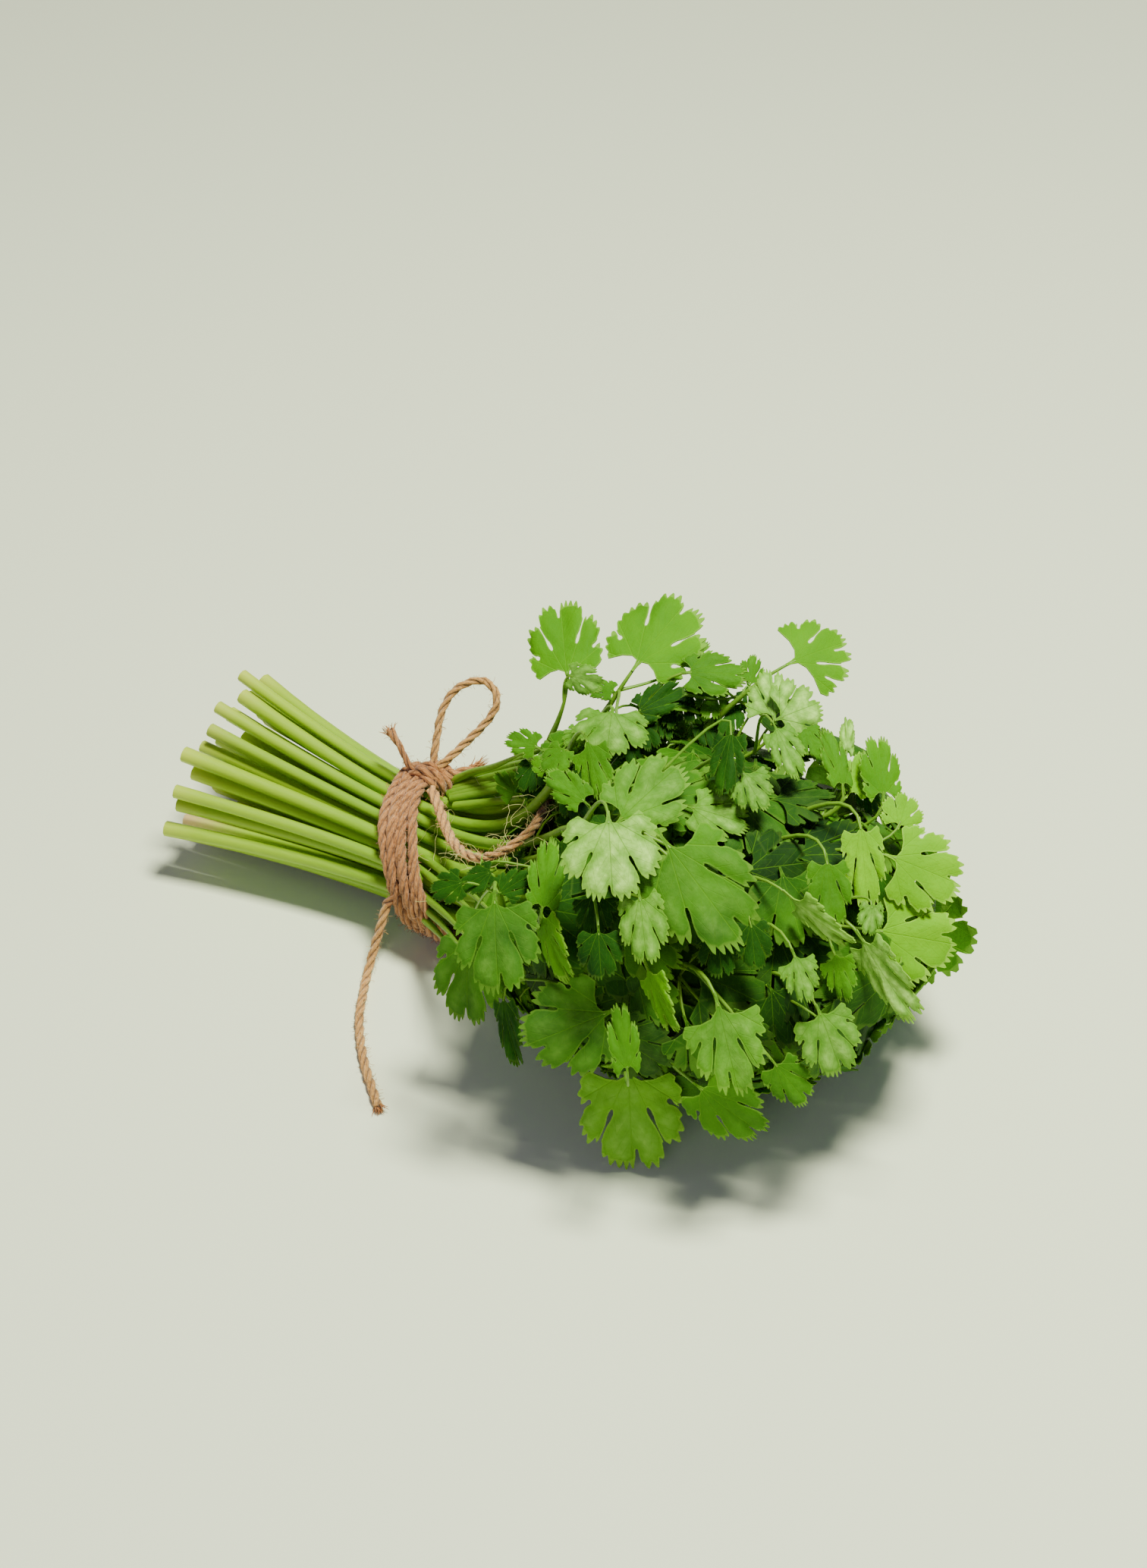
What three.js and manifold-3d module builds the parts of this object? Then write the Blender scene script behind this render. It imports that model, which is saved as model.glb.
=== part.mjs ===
// A bunch of fresh coriander lying on its side, tied with jute twine.
//
// Units are millimetres and +Z is up. The origin is on the surface that the bunch lies on, under the
// lowest point of the twine. +X runs along the stems towards the leaves.
//
// Each leafy stem is one solid: a cut stem that passes through the tie, and the leaflets that grow at
// its end. The twine is a tie with its knot, a bow loop, a front end and a long tail.

import * as THREE from 'three';
import { mergeVertices } from 'three/addons/utils/BufferGeometryUtils.js';
import Module from 'manifold-3d';

const wasm = await Module();
wasm.setup();
const { Manifold, Mesh: ManifoldMesh } = wasm;

// The stems, which are packed in an oval where the twine holds them
const stemCount = 46;
const waistHalfWidth = 20;
const waistHalfHeight = 16;
const stemRadiusCut = 1.95;
const stemRadiusWaist = 1.7;
const stemRadiusTip = 1;
const stemSides = 5;
const cutEndX = -87;
const cutEndStagger = 7;
const cutEndScatter = 2;
const cutEndFlareAcross = { near: 1.95, far: 1.5 }; // the cut ends spread by these shares
const cutEndFlareUp = 1.7;
const cutEndFlareDown = 1.2;
const cutEndShear = { near: 0.35, far: 0.15 }; // how much longer the stems are for each mm across
const straightHalfLength = 10;
const stemStations = [0, 0.2, 0.5, 1];
const stemReach = { leaving: 0.32, turning: 0.2, arriving: 0.4, openingFrom: 25 };
const slotTurn = 137.508;

// The twine
const twineDiameter = 3;
const twineTurns = 6;
const tieGap = 0.6;
const tieGather = { narrowest: 0.66, widening: 0.4, knotAngle: 65 }; // shares of the full width, degrees
const tieRingSegments = 24;
const tieFlatDepth = 0.35;
const slantAcross = 0.42; // how far the tie leans back along the stems for each mm across
const slantUp = 0.42;
const turnRidge = { inset: 0.8, shoulder: 0.9, crownHalf: 0.5, crown: 1.95 };
const knotRadii = new THREE.Vector3(5.2, 4.6, 4.2);
const knotSegments = { around: 10, down: 6 };
const twineSides = 6;
const twineSegments = { shortEnd: 5, bowLoop: 13, frontEnd: 12, tail: 13 };
const pieceGap = 0.35;
const restGap = 0.05;
const floorBlock = { side: 400, depth: 40 };

// The ball of leaves
const foliageCentre = new THREE.Vector3(90, 0, 54);
const foliageRadii = new THREE.Vector3(76, 74, 53);
const foliageReach = 132; // degrees from the far end back to the last leaves near the tie
const layerStep = 6;
const layerOverlap = 0.42;
const lowestBase = 4;
const facing = { outward: 0.4, towardEye: 0.8 };

// The leaf blades
const bladeThickness = 0.7;
const bladeClearance = 0.5;
const bladeCup = 0.28;
const bladeDroop = 0.12;
const stalkHalfWidth = 0.6;
const stalkRadius = 0.9;
const stalkLength = 3;
const stalkSunk = 0.7;
const stalkInto = 0.5;
const sameFoot = 0.1; // leaflets that start nearer than this share the stem's end
const floorGap = 0.5;

// A leaf of three leaflets on the side that the reference view doesn't show
const ruledWays = 12;
const ruledLeaf = {
  shell: 0.72,
  shellSpread: 0.16,
  swing: 0.5,
  tilt: 0.6,
  forward: new THREE.Vector3(0.75, 0, -0.25),
  outward: 0.4,
  turnSpread: 70,
  length: 21,
  lengthSpread: 7,
  turns: [0, -78, 78],
  lengthShares: [1, 0.86, 0.86],
  widthShares: [1.08, 0.95, 0.95],
};
const seed = 4.7;

// The direction that the reference view was taken from, and its scale at the tie
const viewAzimuth = 35;
const viewElevation = 40;
const viewDistance = 1000;
const mmPerPixel = 0.23;
const viewCentrePixel = { x: 756, y: 1033 };
const tiePixel = { x: 572, y: 1124 };

const degree = Math.PI / 180;
const weldTolerance = 1e-4;
const leastSaving = 1e-6;
const outerRingRadii = {
  across: waistHalfWidth + stemRadiusWaist + tieGap + twineDiameter,
  up: waistHalfHeight + stemRadiusWaist + tieGap + twineDiameter,
};
const tieHeight = outerRingRadii.up - tieFlatDepth;
const tieCentre = new THREE.Vector3(-slantUp * (outerRingRadii.up - twineDiameter / 2), 0, tieHeight);

const viewToward = new THREE.Vector3(
  Math.sin(viewAzimuth * degree) * Math.cos(viewElevation * degree),
  -Math.cos(viewAzimuth * degree) * Math.cos(viewElevation * degree),
  Math.sin(viewElevation * degree),
);
const viewRight = new THREE.Vector3(Math.cos(viewAzimuth * degree), Math.sin(viewAzimuth * degree), 0);
const viewUp = new THREE.Vector3().crossVectors(viewToward, viewRight);

// The leaflets that the reference view shows, one row of stems after another and the nearest first.
// Each is [base x, base y, tip x, tip y, width] in pixels of that view, then the turn about its midrib
// in degrees and a lift towards the eye in mm. Leaflets in one row grow on one stem.
const shownStems = [
  [[879, 1112, 979, 1241, 146, 0], [945, 1222, 952, 1288, 62, 0], [990, 1215, 996, 1278, 52, 10, 9]],
  [[802, 1078, 807, 1184, 134, 0, 12]],
  [[843, 1180, 852, 1269, 68, 10, 8]],
  [[816, 1082, 895, 1005, 109, 0, 8], [965, 962, 950, 1045, 50, 20, 3]],
  [[909, 1063, 987, 1085, 66, 0, -11]],
  [[977, 1015, 1008, 1067, 62, 0, 3]],
  [[1021, 949, 1013, 880, 75, -15], [1026, 947, 1082, 925, 92, 20], [1021, 956, 1055, 1022, 48, 0]],
  [[807, 936, 799, 992, 104, 0, -9]],
  [[748, 891, 736, 786, 100, 0], [749, 889, 793, 903, 42, 30]],
  [[839, 876, 905, 786, 126, 0], [898, 880, 938, 848, 52, 20], [839, 939, 902, 902, 46, 10]],
  [[1043, 873, 1118, 840, 118, 0]],
  [[905, 886, 984, 886, 66, 0], [988, 905, 998, 862, 42, 15, -2]],
  [[1175, 1129, 1271, 1165, 113, 0, 3], [1185, 1089, 1199, 1046, 60, 0]],
  [[1157, 1227, 1264, 1245, 123, 0]],
  [[1165, 1050, 1157, 968, 58, 0]],
  [[1112, 1039, 1091, 956, 42, 20], [1118, 1047, 1146, 992, 50, 0], [1116, 992, 1122, 945, 28, 30]],
  [[1134, 1086, 1145, 1195, 58, 10]],
  [[1090, 1132, 1099, 1223, 62, 0]],
  [[1039, 1179, 1115, 1252, 60, 62, 6]],
  [[1135, 1235, 1200, 1349, 66, 50], [1150, 1190, 1146, 1232, 36, 0]],
  [[1099, 1252, 1116, 1321, 48, 15]],
  [[1046, 1255, 1066, 1321, 54, 0]],
  [[1079, 1331, 1112, 1417, 86, 0]],
  [[945, 1319, 975, 1446, 110, 0], [1020, 1400, 1065, 1455, 60, 0]],
  [[921, 1432, 1005, 1500, 88, 0]],
  [[829, 1409, 832, 1551, 143, 0], [827, 1412, 818, 1325, 44, 20]],
  [[802, 1334, 690, 1380, 136, 0], [663, 1312, 675, 1407, 42, 20]],
  [[652, 1184, 654, 1309, 118, 0, 10], [618, 1241, 610, 1350, 105, 0], [655, 1180, 700, 1150, 46, 0, 3]],
  [[714, 1201, 729, 1105, 52, 30, 8], [714, 1203, 739, 1294, 60, 45]],
  [[852, 1271, 880, 1362, 58, 50]],
  [[784, 1172, 782, 1240, 60, 0], [789, 1225, 792, 1290, 64, 0]],
  [[773, 972, 793, 1053, 54, 15]],
  [[711, 985, 665, 969, 40, 0, -14]],
  [[773, 1058, 720, 1015, 46, 0, -3]],
];

// The twine's free lengths, as pixels of the reference view. The bow loop has a depth in mm towards the
// eye for each point, the front end a height over the tie, and the tail drops to the surface.
const knotPixel = { x: 561, y: 1020, depth: 3.6 };
const bowLoopRoute = [
  [571, 1004, 3], [576, 970, 4], [583, 936, 5], [598, 911, 6], [618, 899, 7], [638, 897, 8],
  [652, 909, 8], [655, 927, 8], [646, 945, 7], [629, 964, 6], [609, 983, 5], [592, 999, 5], [577, 1011, 5],
];
const frontEndRoute = [
  [569, 1040, 1], [578, 1062, 0.6], [586, 1086, 1], [596, 1107, 3.5], [610, 1123, 8], [627, 1130, 12],
  [645, 1129, 16], [663, 1122, 19], [681, 1110, 23], [698, 1096, 25.5], [711, 1078, 27], [718, 1058, 28],
];
const tailStart = { x: 510, y: 1191, depth: 15.5 };
const tailFloorRoute = [
  [485, 1280], [479, 1308], [474, 1338], [475, 1368], [481, 1403], [490, 1432], [499, 1459],
];
const shortEndRoute = [[556, 1016, 3], [541, 1010, 4], [528, 985, 5], [514, 962, 5]];

// A repeatable draw from 0 to 1 for item i and purpose k
function draw(i, k) {
  const s = Math.sin(i * 12.9898 + k * 78.233 + seed) * 43758.5453;
  return s - Math.floor(s);
}

// A point given by its pixel in the reference view and its depth towards the eye from the tie's centre
function viewOffset(x, y) {
  return new THREE.Vector3()
    .addScaledVector(viewRight, (x - viewCentrePixel.x) * mmPerPixel)
    .addScaledVector(viewUp, (viewCentrePixel.y - y) * mmPerPixel);
}

const viewAim = tieCentre.clone().sub(viewOffset(tiePixel.x, tiePixel.y));

function viewRay(x, y) {
  const offset = viewOffset(x, y);
  return {
    start: viewAim.clone().add(offset),
    step: viewToward.clone().addScaledVector(offset, -1 / viewDistance),
  };
}

function viewPoint(x, y, depth) {
  const ray = viewRay(x, y);
  return ray.start.addScaledVector(ray.step, depth);
}

function depthAtHeight(x, y, height) {
  const ray = viewRay(x, y);
  return (height - ray.start.z) / ray.step.z;
}

// The depth at which a pixel's line of sight meets the front of the ball of leaves
function frontDepth(x, y) {
  const ray = viewRay(x, y);
  const p = ray.start.sub(foliageCentre).divide(foliageRadii);
  const v = ray.step.divide(foliageRadii);
  const a = v.dot(v);
  const b = p.dot(v);
  const c = p.dot(p) - 1;
  return (-b + Math.sqrt(Math.max(0, b * b - a * c))) / a;
}

function envelopeNormal(point) {
  return point.clone().sub(foliageCentre).divide(foliageRadii).divide(foliageRadii).normalize();
}

// A leaflet the view shows, as a base, a direction, a normal, a length and a width in mm
function shownLeaflet([baseX, baseY, tipX, tipY, width, turn, lift = 0], layer) {
  const middle = { x: (baseX + tipX) / 2, y: (baseY + tipY) / 2 };
  const wanted = frontDepth(middle.x, middle.y) - layer * layerStep + lift;
  const depth = Math.max(wanted, depthAtHeight(baseX, baseY, lowestBase));
  const base = viewPoint(baseX, baseY, depth);
  const normal = envelopeNormal(base).multiplyScalar(facing.outward);
  normal.addScaledVector(viewToward, facing.towardEye).normalize();
  const tipRay = viewRay(tipX, tipY);
  const reach = base.clone().sub(tipRay.start).dot(normal) / tipRay.step.dot(normal);
  const tip = tipRay.start.addScaledVector(tipRay.step, reach);
  const along = tip.sub(base);
  const length = along.length();
  along.normalize();
  normal.applyAxisAngle(along, turn * degree);
  const scale = mmPerPixel * (1 - depth / viewDistance);
  return { base, along, normal, length, width: width * scale };
}

// Stems keep their order from the tie to the ball of leaves: a slot is a place in both
function slotInTie(i) {
  const radius = Math.sqrt((i + 0.5) / stemCount);
  const angle = i * slotTurn * degree;
  return { across: radius * Math.cos(angle), up: radius * Math.sin(angle) };
}

function slotDirection(i) {
  const cosine = 1 - ((i + 0.5) / stemCount) * (1 - Math.cos(foliageReach * degree));
  const sine = Math.sqrt(1 - cosine * cosine);
  const angle = i * slotTurn * degree;
  return new THREE.Vector3(cosine, sine * Math.cos(angle), sine * Math.sin(angle));
}

// Leaflets are listed front to back: one that a nearer leaflet overlaps in the view lies a layer deeper
function layersOf(leaflets) {
  const placed = [];
  return leaflets.map(([baseX, baseY, tipX, tipY, width]) => {
    const x = (baseX + tipX) / 2;
    const y = (baseY + tipY) / 2;
    const size = Math.max(width, Math.hypot(tipX - baseX, tipY - baseY));
    const near = placed.filter((p) => Math.hypot(p.x - x, p.y - y) < layerOverlap * (p.size + size));
    let layer = 0;
    while (near.some((p) => p.layer === layer)) layer += 1;
    placed.push({ x, y, size, layer });
    return layer;
  });
}

// The three leaflets of a leaf set by rule, one of several ways that it may grow
function ruledLeaflets(slot, way) {
  const lot = slot * ruledWays + way;
  const shell = ruledLeaf.shell + ruledLeaf.shellSpread * draw(lot, 1);
  const swing = new THREE.Vector3(draw(lot, 2) - 0.5, draw(lot, 3) - 0.5, draw(lot, 4) - 0.5);
  const direction = slotDirection(slot).addScaledVector(swing, ruledLeaf.swing).normalize();
  const end = direction.multiply(foliageRadii).multiplyScalar(shell).add(foliageCentre);
  end.z = Math.max(end.z, lowestBase);
  const outward = envelopeNormal(end);
  const normal = outward.clone().addScaledVector(swing, ruledLeaf.tilt).normalize();
  const forward = ruledLeaf.forward.clone().addScaledVector(outward, ruledLeaf.outward);
  forward.addScaledVector(normal, -forward.dot(normal)).normalize();
  forward.applyAxisAngle(normal, (draw(lot, 5) - 0.5) * ruledLeaf.turnSpread * degree);
  const length = ruledLeaf.length + ruledLeaf.lengthSpread * draw(lot, 6);
  return ruledLeaf.turns.map((turn, k) => {
    const along = forward.clone().applyAxisAngle(normal, turn * degree);
    return {
      base: end.clone().addScaledVector(along, stalkLength - stalkSunk),
      along,
      normal,
      length: ruledLeaf.lengthShares[k] * length,
      width: ruledLeaf.widthShares[k] * length,
    };
  });
}

const leafletMiddle = (leaflet) => leaflet.base.clone().addScaledVector(leaflet.along, leaflet.length * 0.5);

// The way of growing that leaves a slot's leaflets the most room
function roomiestLeaflets(slot, taken) {
  let best = null;
  let bestRoom = 0;
  for (let way = 0; way < ruledWays; way += 1) {
    const leaflets = ruledLeaflets(slot, way);
    const middles = leaflets.map(leafletMiddle);
    const room = Math.min(...middles.flatMap((middle) => taken.map((other) => middle.distanceTo(other))));
    if (room > bestRoom) {
      best = leaflets;
      bestRoom = room;
    }
  }
  taken.push(...best.map(leafletMiddle));
  return best;
}

// Which slot each shown stem takes: the nearest, with pairs swapped while that shortens the whole
function assignSlots(directions) {
  const cost = (slot, direction) => (direction ? slotDirection(slot).distanceToSquared(direction) : 0);
  const taken = new Array(stemCount).fill(null);
  directions.forEach((direction, stem) => {
    let best = -1;
    for (let slot = 0; slot < stemCount; slot += 1) {
      const nearer = best < 0 || cost(slot, direction) < cost(best, direction);
      if (taken[slot] === null && nearer) best = slot;
    }
    taken[best] = stem;
  });
  const directionAt = (slot) => (taken[slot] === null ? null : directions[taken[slot]]);
  for (let changed = true; changed;) {
    changed = false;
    for (let a = 0; a < stemCount; a += 1) {
      for (let b = a + 1; b < stemCount; b += 1) {
        const now = cost(a, directionAt(a)) + cost(b, directionAt(b));
        const swapped = cost(a, directionAt(b)) + cost(b, directionAt(a));
        if (swapped < now - leastSaving) {
          [taken[a], taken[b]] = [taken[b], taken[a]];
          changed = true;
        }
      }
    }
  }
  return taken;
}

// What each slot holds: a stem that the view shows, or one with a leaf set by rule
function planStems() {
  const layers = layersOf(shownStems.flat());
  const rows = shownStems.map((row) => row.map((leaflet) => shownLeaflet(leaflet, layers.shift())));
  const bases = rows.map((row) => row[0].base);
  const directions = bases.map((base) => base.clone().sub(foliageCentre).divide(foliageRadii).normalize());
  const taken = rows.flat().map(leafletMiddle);
  return assignSlots(directions).map((row, slot) => ({
    slot,
    shown: row !== null,
    leaflets: row === null ? roomiestLeaflets(slot, taken) : rows[row],
  }));
}

// The route of a stem from its cut end, through the tie, to the base of its first leaflet
function stemRoute(slot, target) {
  const { across, up } = slotInTie(slot);
  const waist = new THREE.Vector3(0, across * waistHalfWidth, up * waistHalfHeight);
  waist.x = -slantAcross * waist.y - slantUp * waist.z;
  const side = waist.y < 0 ? 'near' : 'far';
  const cutX = cutEndX - tieCentre.x - cutEndShear[side] * waist.y + cutEndStagger * (draw(slot, 11) - 0.5);
  const cutY = waist.y * cutEndFlareAcross[side] + cutEndScatter * (draw(slot, 12) - 0.5);
  const cutZ = waist.z * (up > 0 ? cutEndFlareUp : cutEndFlareDown);
  const cut = new THREE.Vector3(cutX, cutY, cutZ).add(tieCentre);
  waist.add(tieCentre);
  const enter = waist.clone().setX(waist.x - straightHalfLength);
  const leave = waist.clone().setX(waist.x + straightHalfLength);
  const span = leave.distanceTo(target);
  const outward = target.clone().sub(tieCentre);
  outward.setX(outward.x - stemReach.openingFrom).normalize();
  const opening = target.clone().sub(leave).normalize().multiplyScalar(stemReach.turning);
  opening.setX(opening.x + 1).normalize();
  const bend = new THREE.CubicBezierCurve3(
    leave,
    leave.clone().addScaledVector(opening, stemReach.leaving * span),
    target.clone().addScaledVector(outward, -stemReach.arriving * span),
    target,
  );
  return [cut, enter, leave, ...stemStations.slice(1).map((t) => bend.getPoint(t))];
}

function stemRadii() {
  const leafward = stemStations.map((t) => THREE.MathUtils.lerp(stemRadiusWaist, stemRadiusTip, t));
  return [stemRadiusCut, stemRadiusWaist, ...leafward];
}

function toManifold(geometry) {
  const bare = new THREE.BufferGeometry().setAttribute('position', geometry.getAttribute('position'));
  bare.setIndex(geometry.index);
  const merged = mergeVertices(bare, weldTolerance);
  return new Manifold(new ManifoldMesh({
    numProp: 3,
    vertProperties: new Float32Array(merged.attributes.position.array),
    triVerts: new Uint32Array(merged.index.array),
  }));
}

function toGeometry(solid) {
  const mesh = solid.getMesh();
  const geometry = new THREE.BufferGeometry();
  geometry.setAttribute('position', new THREE.BufferAttribute(mesh.vertProperties, 3));
  geometry.setIndex(new THREE.BufferAttribute(mesh.triVerts, 1));
  geometry.computeVertexNormals();
  return geometry;
}

// A closed tube with flat ends through the points, with its own radius at each
function closedTube(points, radii, sides) {
  const positions = [];
  const index = [];
  let side = new THREE.Vector3(0, 0, 1);
  points.forEach((point, i) => {
    const before = points[Math.max(i - 1, 0)];
    const after = points[Math.min(i + 1, points.length - 1)];
    const tangent = after.clone().sub(before).normalize();
    side = side.clone().addScaledVector(tangent, -side.dot(tangent)).normalize();
    const other = new THREE.Vector3().crossVectors(tangent, side);
    for (let k = 0; k < sides; k += 1) {
      const angle = (k / sides) * 2 * Math.PI;
      const p = point.clone()
        .addScaledVector(side, radii[i] * Math.cos(angle))
        .addScaledVector(other, radii[i] * Math.sin(angle));
      positions.push(p.x, p.y, p.z);
    }
  });
  for (let i = 0; i < points.length - 1; i += 1) {
    for (let k = 0; k < sides; k += 1) {
      const a = i * sides + k;
      const b = i * sides + ((k + 1) % sides);
      index.push(a, b, b + sides, a, b + sides, a + sides);
    }
  }
  const last = (points.length - 1) * sides;
  for (let k = 1; k < sides - 1; k += 1) {
    index.push(0, k + 1, k, last, last + k, last + k + 1);
  }
  const geometry = new THREE.BufferGeometry();
  geometry.setAttribute('position', new THREE.Float32BufferAttribute(positions, 3));
  geometry.setIndex(index);
  return geometry;
}

// The margin of a leaflet of unit length, from its stalk round three toothed lobes: a fan whose edge
// has pointed teeth and two deep notches
const margin = {
  sideTeeth: [68, 53, 35],
  middleTeeth: [16, 0],
  notchAngle: 24,
  notchDepth: 0.5,
  valleyDepth: 0.13,
  fullness: 0.55,
  widest: 0.575,
};

function marginRadius(angle) {
  return Math.cos(angle * degree) ** margin.fullness;
}

function marginPoints() {
  const right = [];
  const tip = (angle) => right.push([angle, marginRadius(angle)]);
  const valley = (angle) => right.push([angle, marginRadius(angle) * (1 - margin.valleyDepth)]);
  margin.sideTeeth.forEach((angle, k) => {
    if (k > 0) valley((angle + margin.sideTeeth[k - 1]) / 2);
    tip(angle);
  });
  right.push([margin.notchAngle, marginRadius(margin.notchAngle) * (1 - margin.notchDepth)]);
  tip(margin.middleTeeth[0]);
  valley(margin.middleTeeth[0] / 2);
  const left = right.map(([angle, radius]) => [-angle, radius]).reverse();
  return [...right, [0, marginRadius(0)], ...left].map(([angle, radius]) => new THREE.Vector2(
    (radius * Math.sin(angle * degree)) / (2 * margin.widest),
    radius * Math.cos(angle * degree),
  ));
}

function leafletShape(length, width) {
  const points = marginPoints().map((p) => new THREE.Vector2(p.x * width, p.y * length));
  return new THREE.Shape([
    new THREE.Vector2(-stalkHalfWidth, -stalkLength),
    new THREE.Vector2(stalkHalfWidth, -stalkLength),
    new THREE.Vector2(stalkHalfWidth, 0),
    ...points,
    new THREE.Vector2(-stalkHalfWidth, 0),
  ]);
}

// A thin blade in place, cupped across its midrib, drooping to its tip and folded on to the floor
function bladeGeometry(leaflet, thickness) {
  const { base, along, normal, length, width } = leaflet;
  const across = new THREE.Vector3().crossVectors(along, normal);
  const flat = new THREE.ExtrudeGeometry(leafletShape(length, width), { depth: 1, bevelEnabled: false });
  const position = flat.getAttribute('position');
  const point = new THREE.Vector3();
  const outward = new THREE.Vector3(base.x - foliageCentre.x, base.y - foliageCentre.y, 0).normalize();
  for (let i = 0; i < position.count; i += 1) {
    const x = position.getX(i);
    const y = position.getY(i);
    const rise = -(bladeCup * x ** 2 + bladeDroop * Math.max(y, 0) ** 2) / length;
    point.copy(base).addScaledVector(across, x).addScaledVector(along, y).addScaledVector(normal, rise);
    const sunk = Math.max(0, floorGap - point.z);
    point.addScaledVector(outward, sunk);
    point.z += sunk;
    point.addScaledVector(normal, (position.getZ(i) - 0.5) * thickness);
    position.setXYZ(i, point.x, point.y, point.z);
  }
  return flat;
}

const bladeSolid = (leaflet, thickness) => toManifold(bladeGeometry(leaflet, thickness));

// Where a leaflet's flat stalk begins
function stalkFoot(leaflet) {
  return leaflet.base.clone().addScaledVector(leaflet.along, stalkSunk - stalkLength);
}

// A leaflet with a short stalk of its own where it doesn't grow from the stem's very end
function grownLeaflet(leaflet, root) {
  const blade = bladeSolid(leaflet, bladeThickness);
  const foot = stalkFoot(leaflet);
  if (foot.distanceTo(root) < sameFoot) return blade;
  const end = foot.addScaledVector(leaflet.along, stalkInto);
  const radii = [stalkRadius, stalkRadius];
  return blade.add(toManifold(closedTube([root, end], radii, 3)));
}

function stemSolid(plan) {
  const route = stemRoute(plan.slot, stalkFoot(plan.leaflets[0]));
  return toManifold(closedTube(route, stemRadii(), stemSides));
}

function overlap(a, b) {
  const boxA = a.boundingBox();
  const boxB = b.boundingBox();
  const apart = [0, 1, 2].some((k) => boxA.min[k] > boxB.max[k] || boxB.min[k] > boxA.max[k]);
  return apart ? 0 : a.intersect(b).volume();
}

// Stems that run into each other grow as one body
function fuseCrossing(solids) {
  const bodies = [];
  const bodyOf = [];
  solids.forEach((solid, i) => {
    const met = bodies.filter((body) => body.solid && overlap(body.solid, solid) > 0);
    const body = { solid, members: [i] };
    for (const other of met) {
      body.solid = body.solid.add(other.solid);
      body.members.push(...other.members);
      other.solid = null;
    }
    bodies.push(body);
    body.members.forEach((member) => {
      bodyOf[member] = body;
    });
  });
  return bodyOf;
}

// Leaflets join their own stem's body, except any that would cross the twine or another body
function growLeaflets(plan, body, bodies, twineSolids) {
  const root = stalkFoot(plan.leaflets[0]);
  const others = bodies.filter((other) => other !== body);
  for (const leaflet of plan.leaflets) {
    const grown = grownLeaflet(leaflet, root);
    const guard = bladeSolid(leaflet, bladeThickness + 2 * bladeClearance);
    const room = [...twineSolids, ...others.map((other) => other.solid)];
    const crosses = room.some((solid) => overlap(guard, solid) > 0 || overlap(grown, solid) > 0);
    if (!crosses) body.solid = body.solid.add(grown);
  }
}

// All the leafy stems: first the stems, then the shown leaflets, then the others where they are clear
function buildLeafyStems(twineSolids) {
  const plans = planStems();
  const bodyOf = fuseCrossing(plans.map(stemSolid));
  const bodies = [...new Set(bodyOf)];
  for (const shown of [true, false]) {
    plans.forEach((plan, i) => {
      if (plan.shown === shown) growLeaflets(plan, bodyOf[i], bodies, twineSolids);
    });
  }
  return bodies.map((body) => body.solid);
}

// The front of the tie's outer surface on a pixel's line of sight, for an oval grown by a clearance
function tieDepth(x, y, clearance) {
  const ray = viewRay(x, y);
  const across = outerRingRadii.across + clearance;
  const up = outerRingRadii.up + clearance;
  const py = (ray.start.y - tieCentre.y) / across;
  const pz = (ray.start.z - tieCentre.z) / up;
  const vy = ray.step.y / across;
  const vz = ray.step.z / up;
  const a = vy * vy + vz * vz;
  const b = py * vy + pz * vz;
  const c = py * py + pz * pz - 1;
  return (-b + Math.sqrt(Math.max(0, b * b - a * c))) / a;
}

function twineTube(points, segments) {
  const curve = new THREE.CatmullRomCurve3(points);
  const stations = curve.getSpacedPoints(segments);
  return toManifold(closedTube(stations, stations.map(() => twineDiameter / 2), twineSides));
}

// One cut through the turns, as pairs of a place along the bunch and a distance out from the stems
function tieProfile() {
  const half = twineDiameter / 2;
  const edge = (twineTurns * twineDiameter) / 2;
  const shoulder = half * turnRidge.shoulder;
  const crown = half * turnRidge.crown;
  const crownHalf = half * turnRidge.crownHalf;
  const profile = [[edge - turnRidge.inset, 0], [-edge + turnRidge.inset, 0]];
  for (let turn = 0; turn < twineTurns; turn += 1) {
    const middle = (turn - (twineTurns - 1) / 2) * twineDiameter;
    profile.push([middle - half, shoulder], [middle - crownHalf, crown], [middle + crownHalf, crown]);
  }
  profile.push([edge, shoulder]);
  return profile;
}

// The turns of twine round the stems: a slanting oval ring with a ridge for each turn, drawn together
// under the knot
function tieSolid() {
  const profile = tieProfile();
  const positions = [];
  const index = [];
  const across = outerRingRadii.across - twineDiameter;
  const up = outerRingRadii.up - twineDiameter;
  for (let k = 0; k < tieRingSegments; k += 1) {
    const angle = ((k + 0.5) / tieRingSegments) * 2 * Math.PI;
    const fromKnot = 0.5 - 0.5 * Math.cos(angle - tieGather.knotAngle * degree);
    const gather = tieGather.narrowest + tieGather.widening * fromKnot;
    const normal = new THREE.Vector3(0, up * Math.cos(angle), across * Math.sin(angle)).normalize();
    const inner = new THREE.Vector3(0, across * Math.cos(angle), up * Math.sin(angle));
    const centre = inner.clone().addScaledVector(normal, twineDiameter / 2);
    const lean = -slantAcross * centre.y - slantUp * centre.z;
    for (const [along, out] of profile) {
      const point = inner.clone().addScaledVector(normal, out).add(tieCentre);
      positions.push(point.x + lean + along * gather, point.y, point.z);
    }
  }
  const count = profile.length;
  for (let k = 0; k < tieRingSegments; k += 1) {
    const here = k * count;
    const next = ((k + 1) % tieRingSegments) * count;
    for (let j = 0; j < count; j += 1) {
      const j2 = (j + 1) % count;
      index.push(here + j, next + j2, here + j2, here + j, next + j, next + j2);
    }
  }
  const ring = new THREE.BufferGeometry();
  ring.setAttribute('position', new THREE.Float32BufferAttribute(positions, 3));
  ring.setIndex(index);
  return toManifold(ring);
}

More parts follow.
